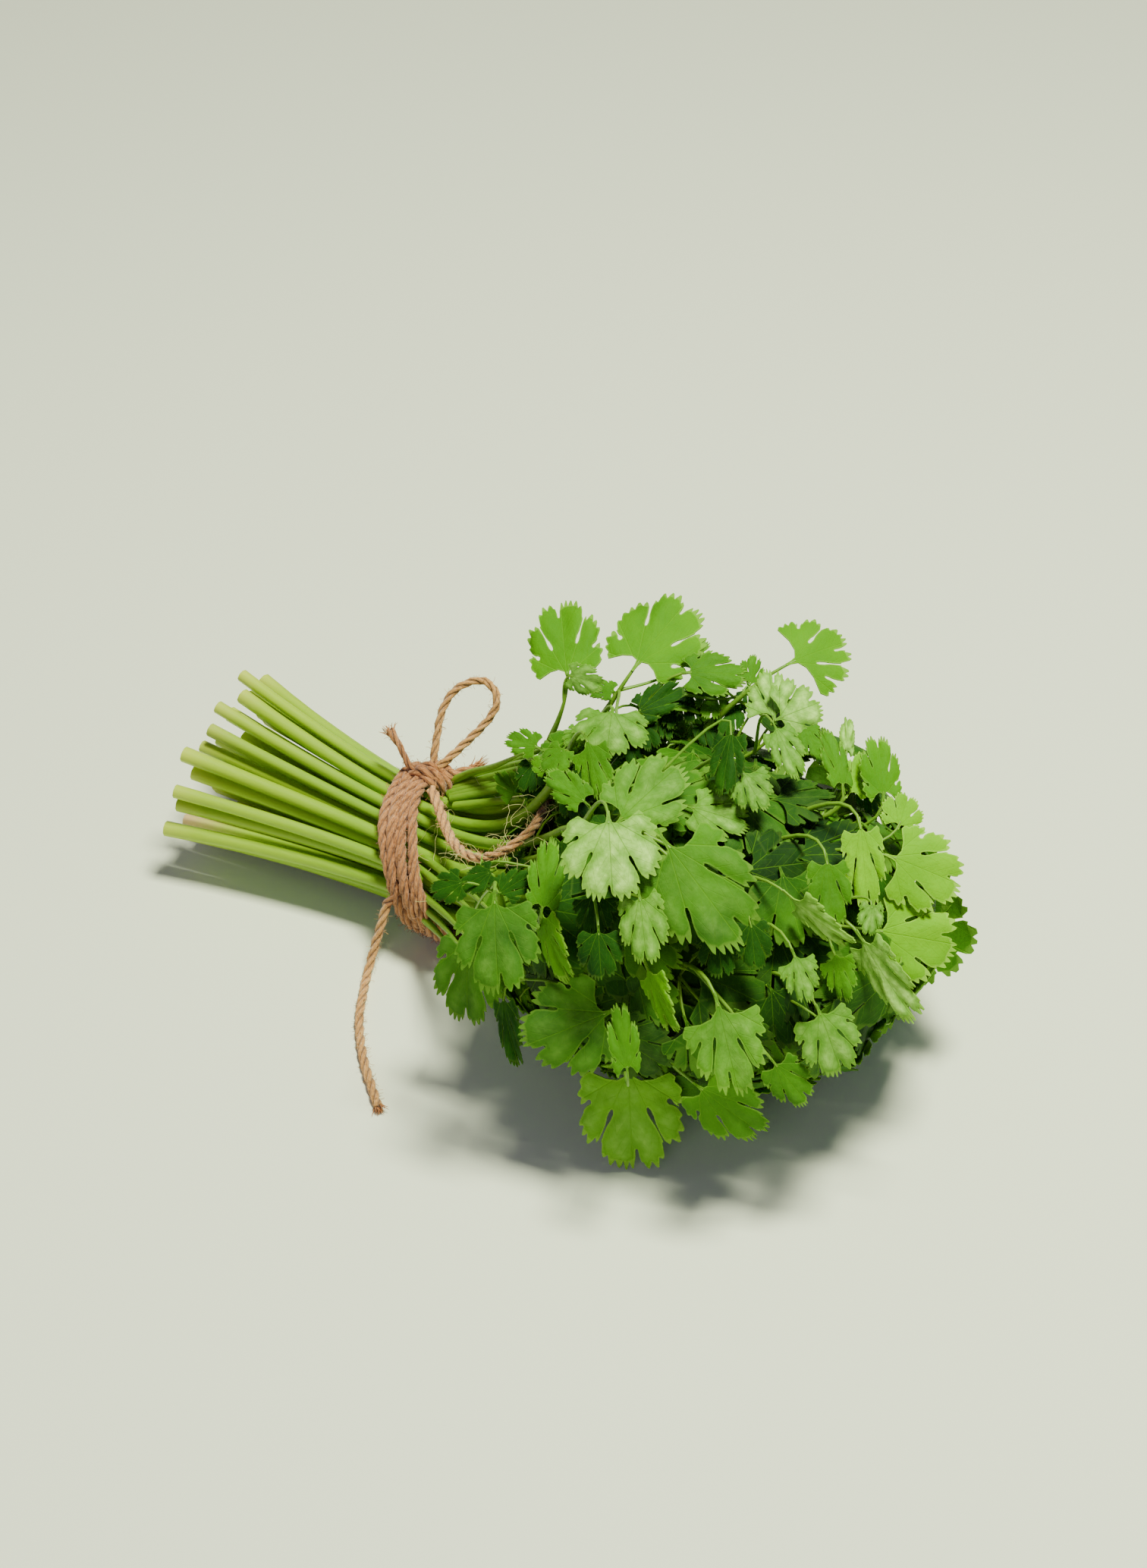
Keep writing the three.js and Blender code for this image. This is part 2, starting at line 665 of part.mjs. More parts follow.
function knotShape(growth) {
  const knot = new THREE.SphereGeometry(1, knotSegments.around, knotSegments.down);
  knot.scale(knotRadii.x + growth, knotRadii.y + growth, knotRadii.z + growth);
  const centre = viewPoint(knotPixel.x, knotPixel.y, knotPixel.depth);
  knot.translate(centre.x, centre.y, centre.z);
  return toManifold(knot);
}

const alongRoute = (route) => route.map(([x, y, depth]) => viewPoint(x, y, depth));

function buildTwine() {
  const ring = tieSolid();
  const block = new THREE.BoxGeometry(floorBlock.side, floorBlock.side, floorBlock.depth);
  const belowFloor = toManifold(block.translate(0, 0, -floorBlock.depth / 2));
  const shortEnd = twineTube(alongRoute(shortEndRoute), twineSegments.shortEnd);
  const tie = ring.add(knotShape(0)).add(shortEnd).subtract(belowFloor);
  const knotRoom = knotShape(pieceGap);
  const over = twineDiameter / 2 + pieceGap;
  const front = frontEndRoute.map(([x, y, extra]) => viewPoint(x, y, tieDepth(x, y, over) + extra));
  const rest = twineDiameter / 2 + restGap;
  const tail = [
    viewPoint(tailStart.x, tailStart.y, tailStart.depth),
    ...tailFloorRoute.map(([x, y]) => viewPoint(x, y, depthAtHeight(x, y, rest))),
  ];
  return {
    twine_tie: tie,
    twine_bow_loop: twineTube(alongRoute(bowLoopRoute), twineSegments.bowLoop).subtract(knotRoom),
    twine_front_end: twineTube(front, twineSegments.frontEnd).subtract(knotRoom),
    twine_tail: twineTube(tail, twineSegments.tail).subtract(belowFloor),
  };
}

const green = new THREE.MeshStandardMaterial({ color: 0x4f9a2c, roughness: 0.6, metalness: 0 });
const jute = new THREE.MeshStandardMaterial({ color: 0xc39a66, roughness: 0.9, metalness: 0 });
const bunch = new THREE.Group();
bunch.name = 'coriander_bunch';

function addPart(name, solid, material) {
  const mesh = new THREE.Mesh(toGeometry(solid), material);
  mesh.name = name;
  bunch.add(mesh);
}

const twine = buildTwine();
Object.entries(twine).forEach(([name, solid]) => addPart(name, solid, jute));
buildLeafyStems(Object.values(twine)).forEach((solid, i) => {
  addPart(`leafy_stem_${String(i + 1).padStart(2, '0')}`, solid, green);
});

export default bunch;
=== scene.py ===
# A bunch of fresh coriander on its side, tied with jute twine.
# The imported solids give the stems, leaflets and twine; here each gets its finished form and surface.

import math

import bpy
import numpy as np
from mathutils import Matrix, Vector, geometry


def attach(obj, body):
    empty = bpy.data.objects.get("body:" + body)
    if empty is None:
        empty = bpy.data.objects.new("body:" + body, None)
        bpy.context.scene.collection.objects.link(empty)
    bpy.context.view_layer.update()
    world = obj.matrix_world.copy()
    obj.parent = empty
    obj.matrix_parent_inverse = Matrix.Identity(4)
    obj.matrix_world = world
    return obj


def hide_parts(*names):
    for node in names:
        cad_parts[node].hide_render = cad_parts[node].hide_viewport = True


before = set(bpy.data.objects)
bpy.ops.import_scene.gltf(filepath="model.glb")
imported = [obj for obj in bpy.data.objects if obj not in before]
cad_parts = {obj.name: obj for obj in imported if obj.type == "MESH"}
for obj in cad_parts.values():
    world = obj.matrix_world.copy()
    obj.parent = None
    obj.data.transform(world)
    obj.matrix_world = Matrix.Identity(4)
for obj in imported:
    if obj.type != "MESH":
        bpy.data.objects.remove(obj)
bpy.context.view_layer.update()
mm = 0.001
print("frame loaded:", len(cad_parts), "nodes")

# ---- the view, and the cords that it shows

# The reference view: azimuth and elevation in degrees, lengths in millimetres, places in its pixels
view = {
    "azimuth": 35,
    "elevation": 40,
    "distance": 1000,
    "mmPerPixel": 0.23,
    "centre": (756, 1033),
    "tie": (572, 1124),
    "pixelsHigh": 2067,
}

# The stems where the twine holds them, and the tie round them, in millimetres
bunch = {
    "stemCount": 46,
    "waistHalfWidth": 20,
    "waistHalfHeight": 16,
    "radiusCut": 2.05,
    "radiusWaist": 1.75,
    "radiusTip": 0.75,
    "cutEndX": -87,
    "cutEndStagger": 7,
    "cutEndFlareAcross": {"near": 1.95, "far": 1.5},
    "cutEndFlareUp": 1.7,
    "cutEndFlareDown": 1.2,
    "cutEndShear": {"near": 0.35, "far": 0.15},
    "straightHalfLength": 10,
    "leaving": 0.32,
    "turning": 0.2,
    "arriving": 0.4,
    "openingFrom": 25,
    "dryWithin": 20,
    "slotTurn": 137.508,
    "slant": 0.42,
    "seed": 4.7,
}

# The ball of leaves, in millimetres
foliage = {
    "centre": Vector((90, 0, 54)),
    "radii": Vector((76, 74, 53)),
    "reach": 132,
    "layerStep": 6,
    "ways": 12,
    "stalkLength": 2.3,
    "floorGap": 0.5,
}

twine = {
    "diameter": 3,
    "turns": 6,
    "gap": 0.6,
    "flat": 0.35,
    "knot": (561, 1020, 3.6),
    "bowLoop": [
        (571, 1004, 3), (576, 970, 4), (583, 936, 5), (598, 911, 6), (618, 899, 7), (638, 897, 8),
        (652, 909, 8), (655, 927, 8), (646, 945, 7), (629, 964, 6), (609, 983, 5), (592, 999, 5),
        (577, 1011, 5),
    ],
    "frontEnd": [
        (569, 1040, 1), (578, 1062, 0.6), (586, 1086, 1), (596, 1107, 3.5), (610, 1123, 8), (627, 1130, 12),
        (645, 1129, 16), (663, 1122, 19), (681, 1110, 23), (698, 1096, 25.5), (711, 1078, 27), (718, 1058, 28),
    ],
    "tailJoin": [(538, 1148, 20), (530, 1165, 19), (520, 1180, 17.5), (510, 1191, 15.5)],
    "tailStart": (510, 1191, 15.5),
    "tailFloor": [(485, 1280), (479, 1308), (474, 1338), (475, 1368), (481, 1403), (490, 1432), (499, 1459)],
    "shortEnd": [(556, 1016, 3), (541, 1010, 4), (528, 985, 5), (514, 962, 5)],
    "knotStrands": [
        ([(545, 1034, -1), (543, 1022, 2.5), (556, 1016, 5.5), (572, 1021, 6.8), (586, 1031, 5.5), (593, 1042, 1.5),
          (590, 1048, -2)], (0.8, 1.2, 1.3, 1.2, 0.9)),
        ([(552, 1040, -1), (549, 1030, 3), (561, 1027, 6), (575, 1031, 7), (585, 1040, 4.5), (586, 1050, 0)],
         (0.8, 1.1, 1.25, 1.1, 0.8)),
        ([(546, 1012, 3), (558, 1010, 4), (571, 1011, 4.5), (583, 1016, 4), (593, 1026, 3), (594, 1036, 0)],
         (0.8, 1.05, 1.15, 1.1, 0.9)),
        ([(574, 1014, 4), (588, 1019, 4.5), (600, 1021, 4), (613, 1016, 3.5), (625, 1011, 3)], (1.2, 1.3, 1.2, 1.0, 0.5)),
        ([(572, 1004, 3.2), (578, 1012, 3), (590, 1014, 3), (597, 1024, 3), (612, 1020, 2.8)], (0.9, 1.0, 1.1, 1.0, 0.5)),
    ],
}

outerAcross = bunch["waistHalfWidth"] + 1.7 + twine["gap"] + twine["diameter"]
outerUp = bunch["waistHalfHeight"] + 1.7 + twine["gap"] + twine["diameter"]
tieCentre = Vector((-bunch["slant"] * (outerUp - twine["diameter"] / 2), 0, outerUp - twine["flat"]))

azimuth, elevation = math.radians(view["azimuth"]), math.radians(view["elevation"])
toward = Vector((
    math.sin(azimuth) * math.cos(elevation), -math.cos(azimuth) * math.cos(elevation), math.sin(elevation),
))
rightward = Vector((math.cos(azimuth), math.sin(azimuth), 0))
upward = toward.cross(rightward)


def viewOffset(x, y):
    k = view["mmPerPixel"]
    return rightward * ((x - view["centre"][0]) * k) + upward * ((view["centre"][1] - y) * k)


aim = tieCentre - viewOffset(*view["tie"])


def viewRay(x, y):
    offset = viewOffset(x, y)
    return aim + offset, toward - offset / view["distance"]


def viewPoint(x, y, depth):
    start, step = viewRay(x, y)
    return start + step * depth


def depthAtHeight(x, y, height):
    start, step = viewRay(x, y)
    return (height - start.z) / step.z


def pixelOf(point):
    offset = point - aim
    scale = 1 / (view["mmPerPixel"] * (1 - offset.dot(toward) / view["distance"]))
    return view["centre"][0] + offset.dot(rightward) * scale, view["centre"][1] - offset.dot(upward) * scale


def nearestRoot(p, v):
    a, b, c = v.dot(v), p.dot(v), p.dot(p) - 1
    return (-b + math.sqrt(max(0, b * b - a * c))) / a


def divided(vector, by):
    return Vector((vector.x / by.x, vector.y / by.y, vector.z / by.z))


def scaled(vector, by):
    return Vector((vector.x * by.x, vector.y * by.y, vector.z * by.z))


# How deep a line of sight meets the ball of leaves, and the tie's oval grown by a clearance
def frontDepth(x, y):
    start, step = viewRay(x, y)
    return nearestRoot(divided(start - foliage["centre"], foliage["radii"]), divided(step, foliage["radii"]))


def tieDepth(x, y, clearance):
    start, step = viewRay(x, y)
    oval = Vector((1e9, outerAcross + clearance, outerUp + clearance))
    return nearestRoot(divided(start - tieCentre, oval), divided(step, oval))


def smoothRoute(points, count):
    # a centripetal curve through the points, evenly spaced
    p = [points[0] * 2 - points[1], *points, points[-1] * 2 - points[-2]]
    fine = []
    for i in range(1, len(p) - 2):
        knots = [0.0]
        for a, b in zip(p[i - 1:i + 2], p[i:i + 3]):
            knots.append(knots[-1] + max((b - a).length, 1e-6) ** 0.5)
        for j in range(12):
            t = knots[1] + (knots[2] - knots[1]) * j / 12
            a = [p[i - 1 + k] * ((knots[k + 1] - t) / (knots[k + 1] - knots[k]))
                 + p[i + k] * ((t - knots[k]) / (knots[k + 1] - knots[k])) for k in range(3)]
            b = [a[k] * ((knots[k + 2] - t) / (knots[k + 2] - knots[k]))
                 + a[k + 1] * ((t - knots[k]) / (knots[k + 2] - knots[k])) for k in range(2)]
            fine.append(b[0] * ((knots[2] - t) / (knots[2] - knots[1]))
                        + b[1] * ((t - knots[1]) / (knots[2] - knots[1])))
    fine.append(points[-1].copy())
    return evenly(fine, count)


def evenly(points, count):
    line = np.array([tuple(q) for q in points])
    run = np.concatenate([[0], np.cumsum(np.linalg.norm(np.diff(line, axis=0), axis=1))])
    at = np.linspace(0, run[-1], count)
    return [Vector(tuple(np.interp(s, run, line[:, k]) for k in range(3))) for s in at]


def routeLength(points):
    return sum((b - a).length for a, b in zip(points, points[1:]))


camera = bpy.data.objects.new("camera", bpy.data.cameras.new("camera"))
camera.data.sensor_width = 36
camera.data.lens = 36 * view["distance"] / (view["pixelsHigh"] * view["mmPerPixel"])
camera.data.clip_start = 0.01
camera.location = (aim + toward * view["distance"]) * mm
camera.rotation_euler = toward.to_track_quat("Z", "Y").to_euler()
bpy.context.scene.collection.objects.link(camera)
bpy.context.scene.camera = camera

overTie = twine["diameter"] / 2 + 0.35
onFloor = twine["diameter"] / 2 + 0.05
bowRoute = smoothRoute([viewPoint(*p) for p in twine["bowLoop"]], 36)
frontRoute = smoothRoute([viewPoint(x, y, tieDepth(x, y, overTie) + extra) for x, y, extra in twine["frontEnd"]], 34)
tailRoute = smoothRoute(
    [viewPoint(*twine["tailStart"])] + [viewPoint(x, y, depthAtHeight(x, y, onFloor)) for x, y in twine["tailFloor"]],
    40,
)
shortRoute = smoothRoute([viewPoint(*p) for p in twine["shortEnd"]], 14)
print("routes:", [round(routeLength(r), 1) for r in (bowRoute, frontRoute, tailRoute, shortRoute)], "mm")

# ---- small tools for node trees


def addNode(tree, kind, inputs=None, **settings):
    node = tree.nodes.new(kind)
    for key, value in settings.items():
        setattr(node, key, value)
    for socket, value in (inputs or {}).items():
        if isinstance(value, bpy.types.NodeSocket):
            tree.links.new(value, node.inputs[socket])
        else:
            node.inputs[socket].default_value = value
    return node


def linear(hexColour):
    parts = [int(hexColour[i:i + 2], 16) / 255 for i in (1, 3, 5)]
    return tuple(c / 12.92 if c <= 0.04045 else ((c + 0.055) / 1.055) ** 2.4 for c in parts) + (1.0,)


def newMaterial(name):
    material = bpy.data.materials.new(name)
    material.use_nodes = True
    tree = material.node_tree
    tree.nodes.clear()
    surface = addNode(tree, "ShaderNodeBsdfPrincipled")
    addNode(tree, "ShaderNodeOutputMaterial", {"Surface": surface.outputs[0]})
    return material, tree, surface


def colourRamp(tree, factor, stops):
    ramp = addNode(tree, "ShaderNodeValToRGB", {0: factor})
    elements = ramp.color_ramp.elements
    while len(elements) > 1:
        elements.remove(elements[-1])
    elements[0].position, elements[0].color = stops[0][0], linear(stops[0][1])
    for position, colour in stops[1:]:
        elements.new(position).color = linear(colour)
    return ramp.outputs[0]


def newTree(name, inputs):
    tree = bpy.data.node_groups.new(name, "GeometryNodeTree")
    tree.interface.new_socket("Geometry", in_out="INPUT", socket_type="NodeSocketGeometry")
    for label, (kind, value) in inputs.items():
        tree.interface.new_socket(label, in_out="INPUT", socket_type=kind).default_value = value
    tree.interface.new_socket("Geometry", in_out="OUTPUT", socket_type="NodeSocketGeometry")
    return tree, addNode(tree, "NodeGroupInput").outputs


# Runs a tree on a carrier mesh and keeps the result as a plain mesh
def grown(carrier, tree, values, name):
    modifier = carrier.modifiers.new("grow", "NODES")
    modifier.node_group = tree
    for item in tree.interface.items_tree:
        if item.in_out == "INPUT" and item.name in values:
            modifier[item.identifier] = values[item.name]
    depsgraph = bpy.context.evaluated_depsgraph_get()
    mesh = bpy.data.meshes.new_from_object(carrier.evaluated_get(depsgraph))
    mesh.name = name
    bpy.data.objects.remove(carrier)
    piece = bpy.data.objects.new(name, mesh)
    bpy.context.scene.collection.objects.link(piece)
    return piece


# A mesh of lines, one for each route, for a tree to sweep; each route has its points and values there
def lineCarrier(name, routes, attributes):
    points, edges = [], []
    values = {key: [] for key in attributes}
    for route in routes:
        start = len(points)
        points += [tuple(p * mm) for p in route["points"]]
        edges += [(start + i, start + i + 1) for i in range(len(route["points"]) - 1)]
        for key in attributes:
            values[key] += list(route[key])
    mesh = bpy.data.meshes.new(name)
    mesh.from_pydata(points, edges, [])
    for key in attributes:
        mesh.attributes.new(key, "FLOAT", "POINT").data.foreach_set("value", values[key])
    carrier = bpy.data.objects.new(name, mesh)
    bpy.context.scene.collection.objects.link(carrier)
    return carrier


def settle(piece, replaced):
    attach(piece, "root")
    if replaced:
        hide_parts(*replaced)
    return piece


# ---- where each stem and leaflet goes


def draw(i, k):
    s = math.sin(i * 12.9898 + k * 78.233 + bunch["seed"]) * 43758.5453
    return s - math.floor(s)


# Leaflets the view shows, a row for each stem, nearest first: base and tip, width and the turn about
# the midrib in degrees, a lift towards the eye in millimetres, and a tone of green
shownStems = [
    [(879, 1112, 979, 1241, 146, 0, 0, "sheen"), (945, 1222, 952, 1288, 62, 0, 0, "deep"),
     (990, 1215, 996, 1278, 52, 10, 9, "deep")],
    [(802, 1078, 807, 1184, 134, 0, 12, "milk")],
    [(843, 1180, 852, 1269, 68, 10, 8, "pale")],
    [(816, 1082, 895, 1005, 109, 0, 8, "fresh"), (965, 962, 950, 1045, 50, 20, 3, "deep")],
    [(909, 1063, 987, 1085, 66, 0, -11, "pale")],
    [(977, 1015, 1008, 1067, 62, 0, 3, "pale")],
    [(1021, 949, 1013, 880, 75, -15, 0, "milk"), (1026, 947, 1082, 925, 92, 20, 0, "milk"),
     (1021, 956, 1055, 1022, 48, 0, 0, "pale")],
    [(807, 936, 799, 992, 104, 0, -9, "pale")],
    [(748, 891, 736, 786, 100, 0, 0, "bright"), (749, 889, 793, 903, 42, 30, 0, "pale")],
    [(839, 876, 905, 786, 126, 0, 0, "zest"), (898, 880, 938, 848, 52, 20, 0, "pale"),
     (839, 939, 902, 902, 46, 10, 0, "deep")],
    [(1043, 873, 1118, 840, 118, 0, 0, "zest")],
    [(905, 886, 984, 886, 66, 0, 0, "mid"), (988, 905, 998, 862, 42, 15, -2, "mid")],
    [(1175, 1129, 1271, 1165, 113, 0, 3, "lime"), (1185, 1089, 1199, 1046, 60, 0, 0, "lime")],
    [(1157, 1227, 1264, 1245, 123, 0, 0, "lime")],
    [(1165, 1050, 1157, 968, 58, 0, 0, "bright")],
    [(1112, 1039, 1091, 956, 42, 20, 0, "mid"), (1118, 1047, 1146, 992, 50, 0, 0, "lime"),
     (1116, 992, 1122, 945, 28, 30, 0, "milk")],
    [(1134, 1086, 1145, 1195, 58, 10, 0, "lime")],
    [(1090, 1132, 1099, 1223, 62, 0, 0, "mid")],
    [(1039, 1179, 1115, 1252, 60, 62, 6, "milk")],
    [(1135, 1235, 1200, 1349, 66, 50, 0, "milk"), (1150, 1190, 1146, 1232, 36, 0, 0, "pale")],
    [(1099, 1252, 1116, 1321, 48, 15, 0, "mid")],
    [(1046, 1255, 1066, 1321, 54, 0, 0, "pale")],
    [(1079, 1331, 1112, 1417, 86, 0, 0, "pale")],
    [(945, 1319, 975, 1446, 110, 0, 0, "fresh"), (1020, 1400, 1065, 1455, 60, 0, 0, "mid")],
    [(921, 1432, 1005, 1500, 88, 0, 0, "mid")],
    [(829, 1409, 832, 1551, 143, 0, 0, "low"), (827, 1412, 818, 1325, 44, 20, 0, "mid")],
    [(802, 1334, 690, 1380, 136, 0, 0, "sage"), (663, 1312, 675, 1407, 42, 20, 0, "deep")],
    [(652, 1184, 654, 1309, 118, 0, 10, "sage"), (618, 1241, 610, 1350, 105, 0, 0, "sage"),
     (655, 1180, 700, 1150, 46, 0, 3, "deep")],
    [(714, 1201, 729, 1105, 52, 30, 8, "mid"), (714, 1203, 739, 1294, 60, 45, 0, "bright")],
    [(852, 1271, 880, 1362, 58, 50, 0, "bright")],
    [(784, 1172, 782, 1240, 60, 0, 0, "deep"), (789, 1225, 792, 1290, 64, 0, 0, "deep")],
    [(773, 972, 793, 1053, 54, 15, 0, "mid")],
    [(711, 985, 665, 969, 40, 0, -14, "mid")],
    [(773, 1058, 720, 1015, 46, 0, -3, "mid")],
]

# How yellow each tone is, and how much painted sheen it carries, from 0 to 1. The deep tones are partly painted
# shade among the leaves, lime is partly painted light through the leaflets, and low is painted lighter for a leaflet in
# shade
tones = {
    "deep": (0.14, 0.0),
    "mid": (0.4, 0.05),
    "spring": (0.54, 0.15),
    "fresh": (0.46, 0.3),
    "pale": (0.46, 0.48),
    "milk": (0.56, 1.15),
    "bright": (0.56, 0.0),
    "zest": (0.58, 0.0),
    "sheen": (0.36, 0.12),
    "sage": (0.3, 0.12),
    "low": (0.66, 0.3),
    "lime": (0.9, 0.0),
}


def envelopeNormal(point):
    return divided(divided(point - foliage["centre"], foliage["radii"]), foliage["radii"]).normalized()


def turned(vector, axis, degrees):
    half = math.radians(degrees)
    return vector * math.cos(half) + axis.cross(vector) * math.sin(half) + axis * (axis.dot(vector) * (1 - math.cos(half)))


def shownLeaflet(row, layer):
    baseX, baseY, tipX, tipY, _, _, lift, _ = row
    wanted = frontDepth((baseX + tipX) / 2, (baseY + tipY) / 2) - layer * foliage["layerStep"] + lift
    return leafletAtDepth(row, max(wanted, depthAtHeight(baseX, baseY, 4)))


def leafletAtDepth(row, depth):
    baseX, baseY, tipX, tipY, width, turn, _, tone = row
    base = viewPoint(baseX, baseY, depth)
    normal = (envelopeNormal(base) * 0.4 + toward * 0.8).normalized()
    start, step = viewRay(tipX, tipY)
    along = start + step * ((base - start).dot(normal) / step.dot(normal)) - base
    length = along.length
    along.normalize()
    return {
        "base": base, "along": along, "normal": turned(normal, along, turn), "length": length,
        "width": width * view["mmPerPixel"] * (1 - depth / view["distance"]), "tone": tones[tone],
    }


def layersOf(rows):
    placed, layers = [], []
    for baseX, baseY, tipX, tipY, width, *_ in rows:
        x, y = (baseX + tipX) / 2, (baseY + tipY) / 2
        size = max(width, math.hypot(tipX - baseX, tipY - baseY))
        layer = 0
        while any(p[3] == layer and math.hypot(p[0] - x, p[1] - y) < 0.42 * (p[2] + size) for p in placed):
            layer += 1
        placed.append((x, y, size, layer))
        layers.append(layer)
    return layers


def slotInTie(i):
    radius = math.sqrt((i + 0.5) / bunch["stemCount"])
    angle = math.radians(i * bunch["slotTurn"])
    return radius * math.cos(angle), radius * math.sin(angle)


def slotDirection(i):
    cosine = 1 - ((i + 0.5) / bunch["stemCount"]) * (1 - math.cos(math.radians(foliage["reach"])))
    sine = math.sqrt(1 - cosine * cosine)
    angle = math.radians(i * bunch["slotTurn"])
    return Vector((cosine, sine * math.cos(angle), sine * math.sin(angle)))


def leafletMiddle(leaflet):
    return leaflet["base"] + leaflet["along"] * (leaflet["length"] * 0.5)


# A leaf of three on the side the view doesn't show
def ruledLeaflets(slot, way):
    lot = slot * foliage["ways"] + way
    swing = Vector((draw(lot, 2) - 0.5, draw(lot, 3) - 0.5, draw(lot, 4) - 0.5))
    direction = (slotDirection(slot) + swing * 0.5).normalized()
    end = scaled(direction, foliage["radii"]) * (0.72 + 0.16 * draw(lot, 1)) + foliage["centre"]
    end.z = max(end.z, 4)
    outward = envelopeNormal(end)
    normal = (outward + swing * 0.6).normalized()
    forward = Vector((0.75, 0, -0.25)) + outward * 0.4
    forward = (forward - normal * forward.dot(normal)).normalized()
    forward = turned(forward, normal, (draw(lot, 5) - 0.5) * 70)
    length = 21 + 7 * draw(lot, 6)
    leaflets = []
    for k, turn in enumerate((0, -78, 78)):
        along = turned(forward, normal, turn)
        leaflets.append({
            "base": end + along * foliage["stalkLength"], "along": along, "normal": normal,
            "length": length if k == 0 else length * 0.86, "width": (1.08 if k == 0 else 0.95) * length,
            "tone": (0.25 + 0.5 * draw(lot, 7), 0.3 * draw(lot, 8)),
        })
    return leaflets


def roomiestLeaflets(slot, taken):
    best, bestRoom = None, 0
    for way in range(foliage["ways"]):
        leaflets = ruledLeaflets(slot, way)
        room = min((leafletMiddle(leaflet) - other).length for leaflet in leaflets for other in taken)
        if room > bestRoom:
            best, bestRoom = leaflets, room
    taken += [leafletMiddle(leaflet) for leaflet in best]
    return best


# Which slot each shown stem takes: the nearest, with pairs swapped while that shortens the whole
def assignSlots(directions):
    count = bunch["stemCount"]
    cost = [[(slotDirection(slot) - d).length_squared for d in directions] + [0.0] for slot in range(count)]
    taken = [-1] * count
    for stem in range(len(directions)):
        free = [slot for slot in range(count) if taken[slot] < 0]
        taken[min(free, key=lambda slot: cost[slot][stem])] = stem
    changed = True
    while changed:
        changed = False
        for a in range(count):
            for b in range(a + 1, count):
                now = cost[a][taken[a]] + cost[b][taken[b]]
                if cost[a][taken[b]] + cost[b][taken[a]] < now - 1e-6:
                    taken[a], taken[b] = taken[b], taken[a]
                    changed = True
    return taken


def stalkFoot(leaflet):
    return leaflet["base"] - leaflet["along"] * foliage["stalkLength"]


def bezier(a, b, c, d, t):
    s = 1 - t
    return a * s ** 3 + b * (3 * s * s * t) + c * (3 * s * t * t) + d * t ** 3


# A rounded line from a point into a leaflet's base
def stalkLine(start, heading, leaflet, count):
    end = leaflet["base"] + leaflet["along"] * 1.5
    span = (end - start).length
    handles = start, start + heading * (0.22 * span), end - leaflet["along"] * (0.4 * span), end
    return [bezier(*handles, j / (count - 1)) for j in range(count)]


# A stem from its cut end, through the tie, to the foot of its first leaflet
def stemPoints(across, up, cutShift, target):
    waist = Vector((0, across * bunch["waistHalfWidth"], up * bunch["waistHalfHeight"]))
    waist.x = -bunch["slant"] * (waist.y + waist.z)
    flareUp = bunch["cutEndFlareUp"] if up > 0 else bunch["cutEndFlareDown"]
    side = "near" if waist.y < 0 else "far"
    cut = Vector((
        bunch["cutEndX"] - tieCentre.x - bunch["cutEndShear"][side] * waist.y
        + bunch["cutEndStagger"] * (cutShift[0] - 0.5),
        waist.y * bunch["cutEndFlareAcross"][side] + 2 * (cutShift[1] - 0.5),
        waist.z * flareUp,
    )) + tieCentre
    waist = waist + tieCentre
    enter = waist - Vector((bunch["straightHalfLength"], 0, 0))
    leave = waist + Vector((bunch["straightHalfLength"], 0, 0))
    points = []
    for j in range(10):  # the cut half bows outwards a little towards its end
        s = 1 - j / 10
        points.append(Vector((enter.x + (cut.x - enter.x) * s, enter.y + (cut.y - enter.y) * s ** 1.35,
                              enter.z + (cut.z - enter.z) * s ** 1.35)))
    points += [enter, waist]
    span = (target - leave).length
    outward = (target - tieCentre - Vector((bunch["openingFrom"], 0, 0))).normalized()
    opening = (Vector((1, 0, 0)) + (target - leave).normalized() * bunch["turning"]).normalized()
    handles = leave, leave + opening * (bunch["leaving"] * span), target - outward * (bunch["arriving"] * span), target
    points += [bezier(*handles, j / 16) for j in range(17)]
    return points


layers = iter(layersOf([leaflet for row in shownStems for leaflet in row]))
shownRows = [[shownLeaflet(leaflet, next(layers)) for leaflet in row] for row in shownStems]
directions = [divided(row[0]["base"] - foliage["centre"], foliage["radii"]).normalized() for row in shownRows]
takenMiddles = [leafletMiddle(leaflet) for row in shownRows for leaflet in row]
stems = []
for slot, row in enumerate(assignSlots(directions)):
    leaflets = roomiestLeaflets(slot, takenMiddles) if row < 0 else shownRows[row]
    points = stemPoints(*slotInTie(slot), (draw(slot, 11), draw(slot, 12)), stalkFoot(leaflets[0]))
    stems.append({"points": points, "leaflets": leaflets, "shown": row >= 0})
print("stems:", len(stems), "leaflets:", sum(len(s["leaflets"]) for s in stems))

# Slim stems between the others: they rise straight from the tie to the ball and end inside it
slimStems = []
for n in range(34):
    across, up = slotInTie(n * 1.31 + 0.4)
    start = tieCentre + Vector((0, across * bunch["waistHalfWidth"] * 0.95, up * bunch["waistHalfHeight"] * 0.95))
    start.x -= bunch["slant"] * (start.y - tieCentre.y + start.z - tieCentre.z)
    aimAt = slotDirection((n * 1.31 + 0.4) % bunch["stemCount"])
    end = scaled(aimAt, foliage["radii"]) * 0.62 + foliage["centre"] + Vector((6, 0, 0))
    span = (end - start).length
    rise = Vector((1, 0, 0)) + (end - start).normalized() * 1.3
    path = [bezier(start, start + rise.normalized() * (0.35 * span), end - (end - start).normalized() * (0.3 * span),
                   end, j / 15) for j in range(16)]
    slimStems.append(path)

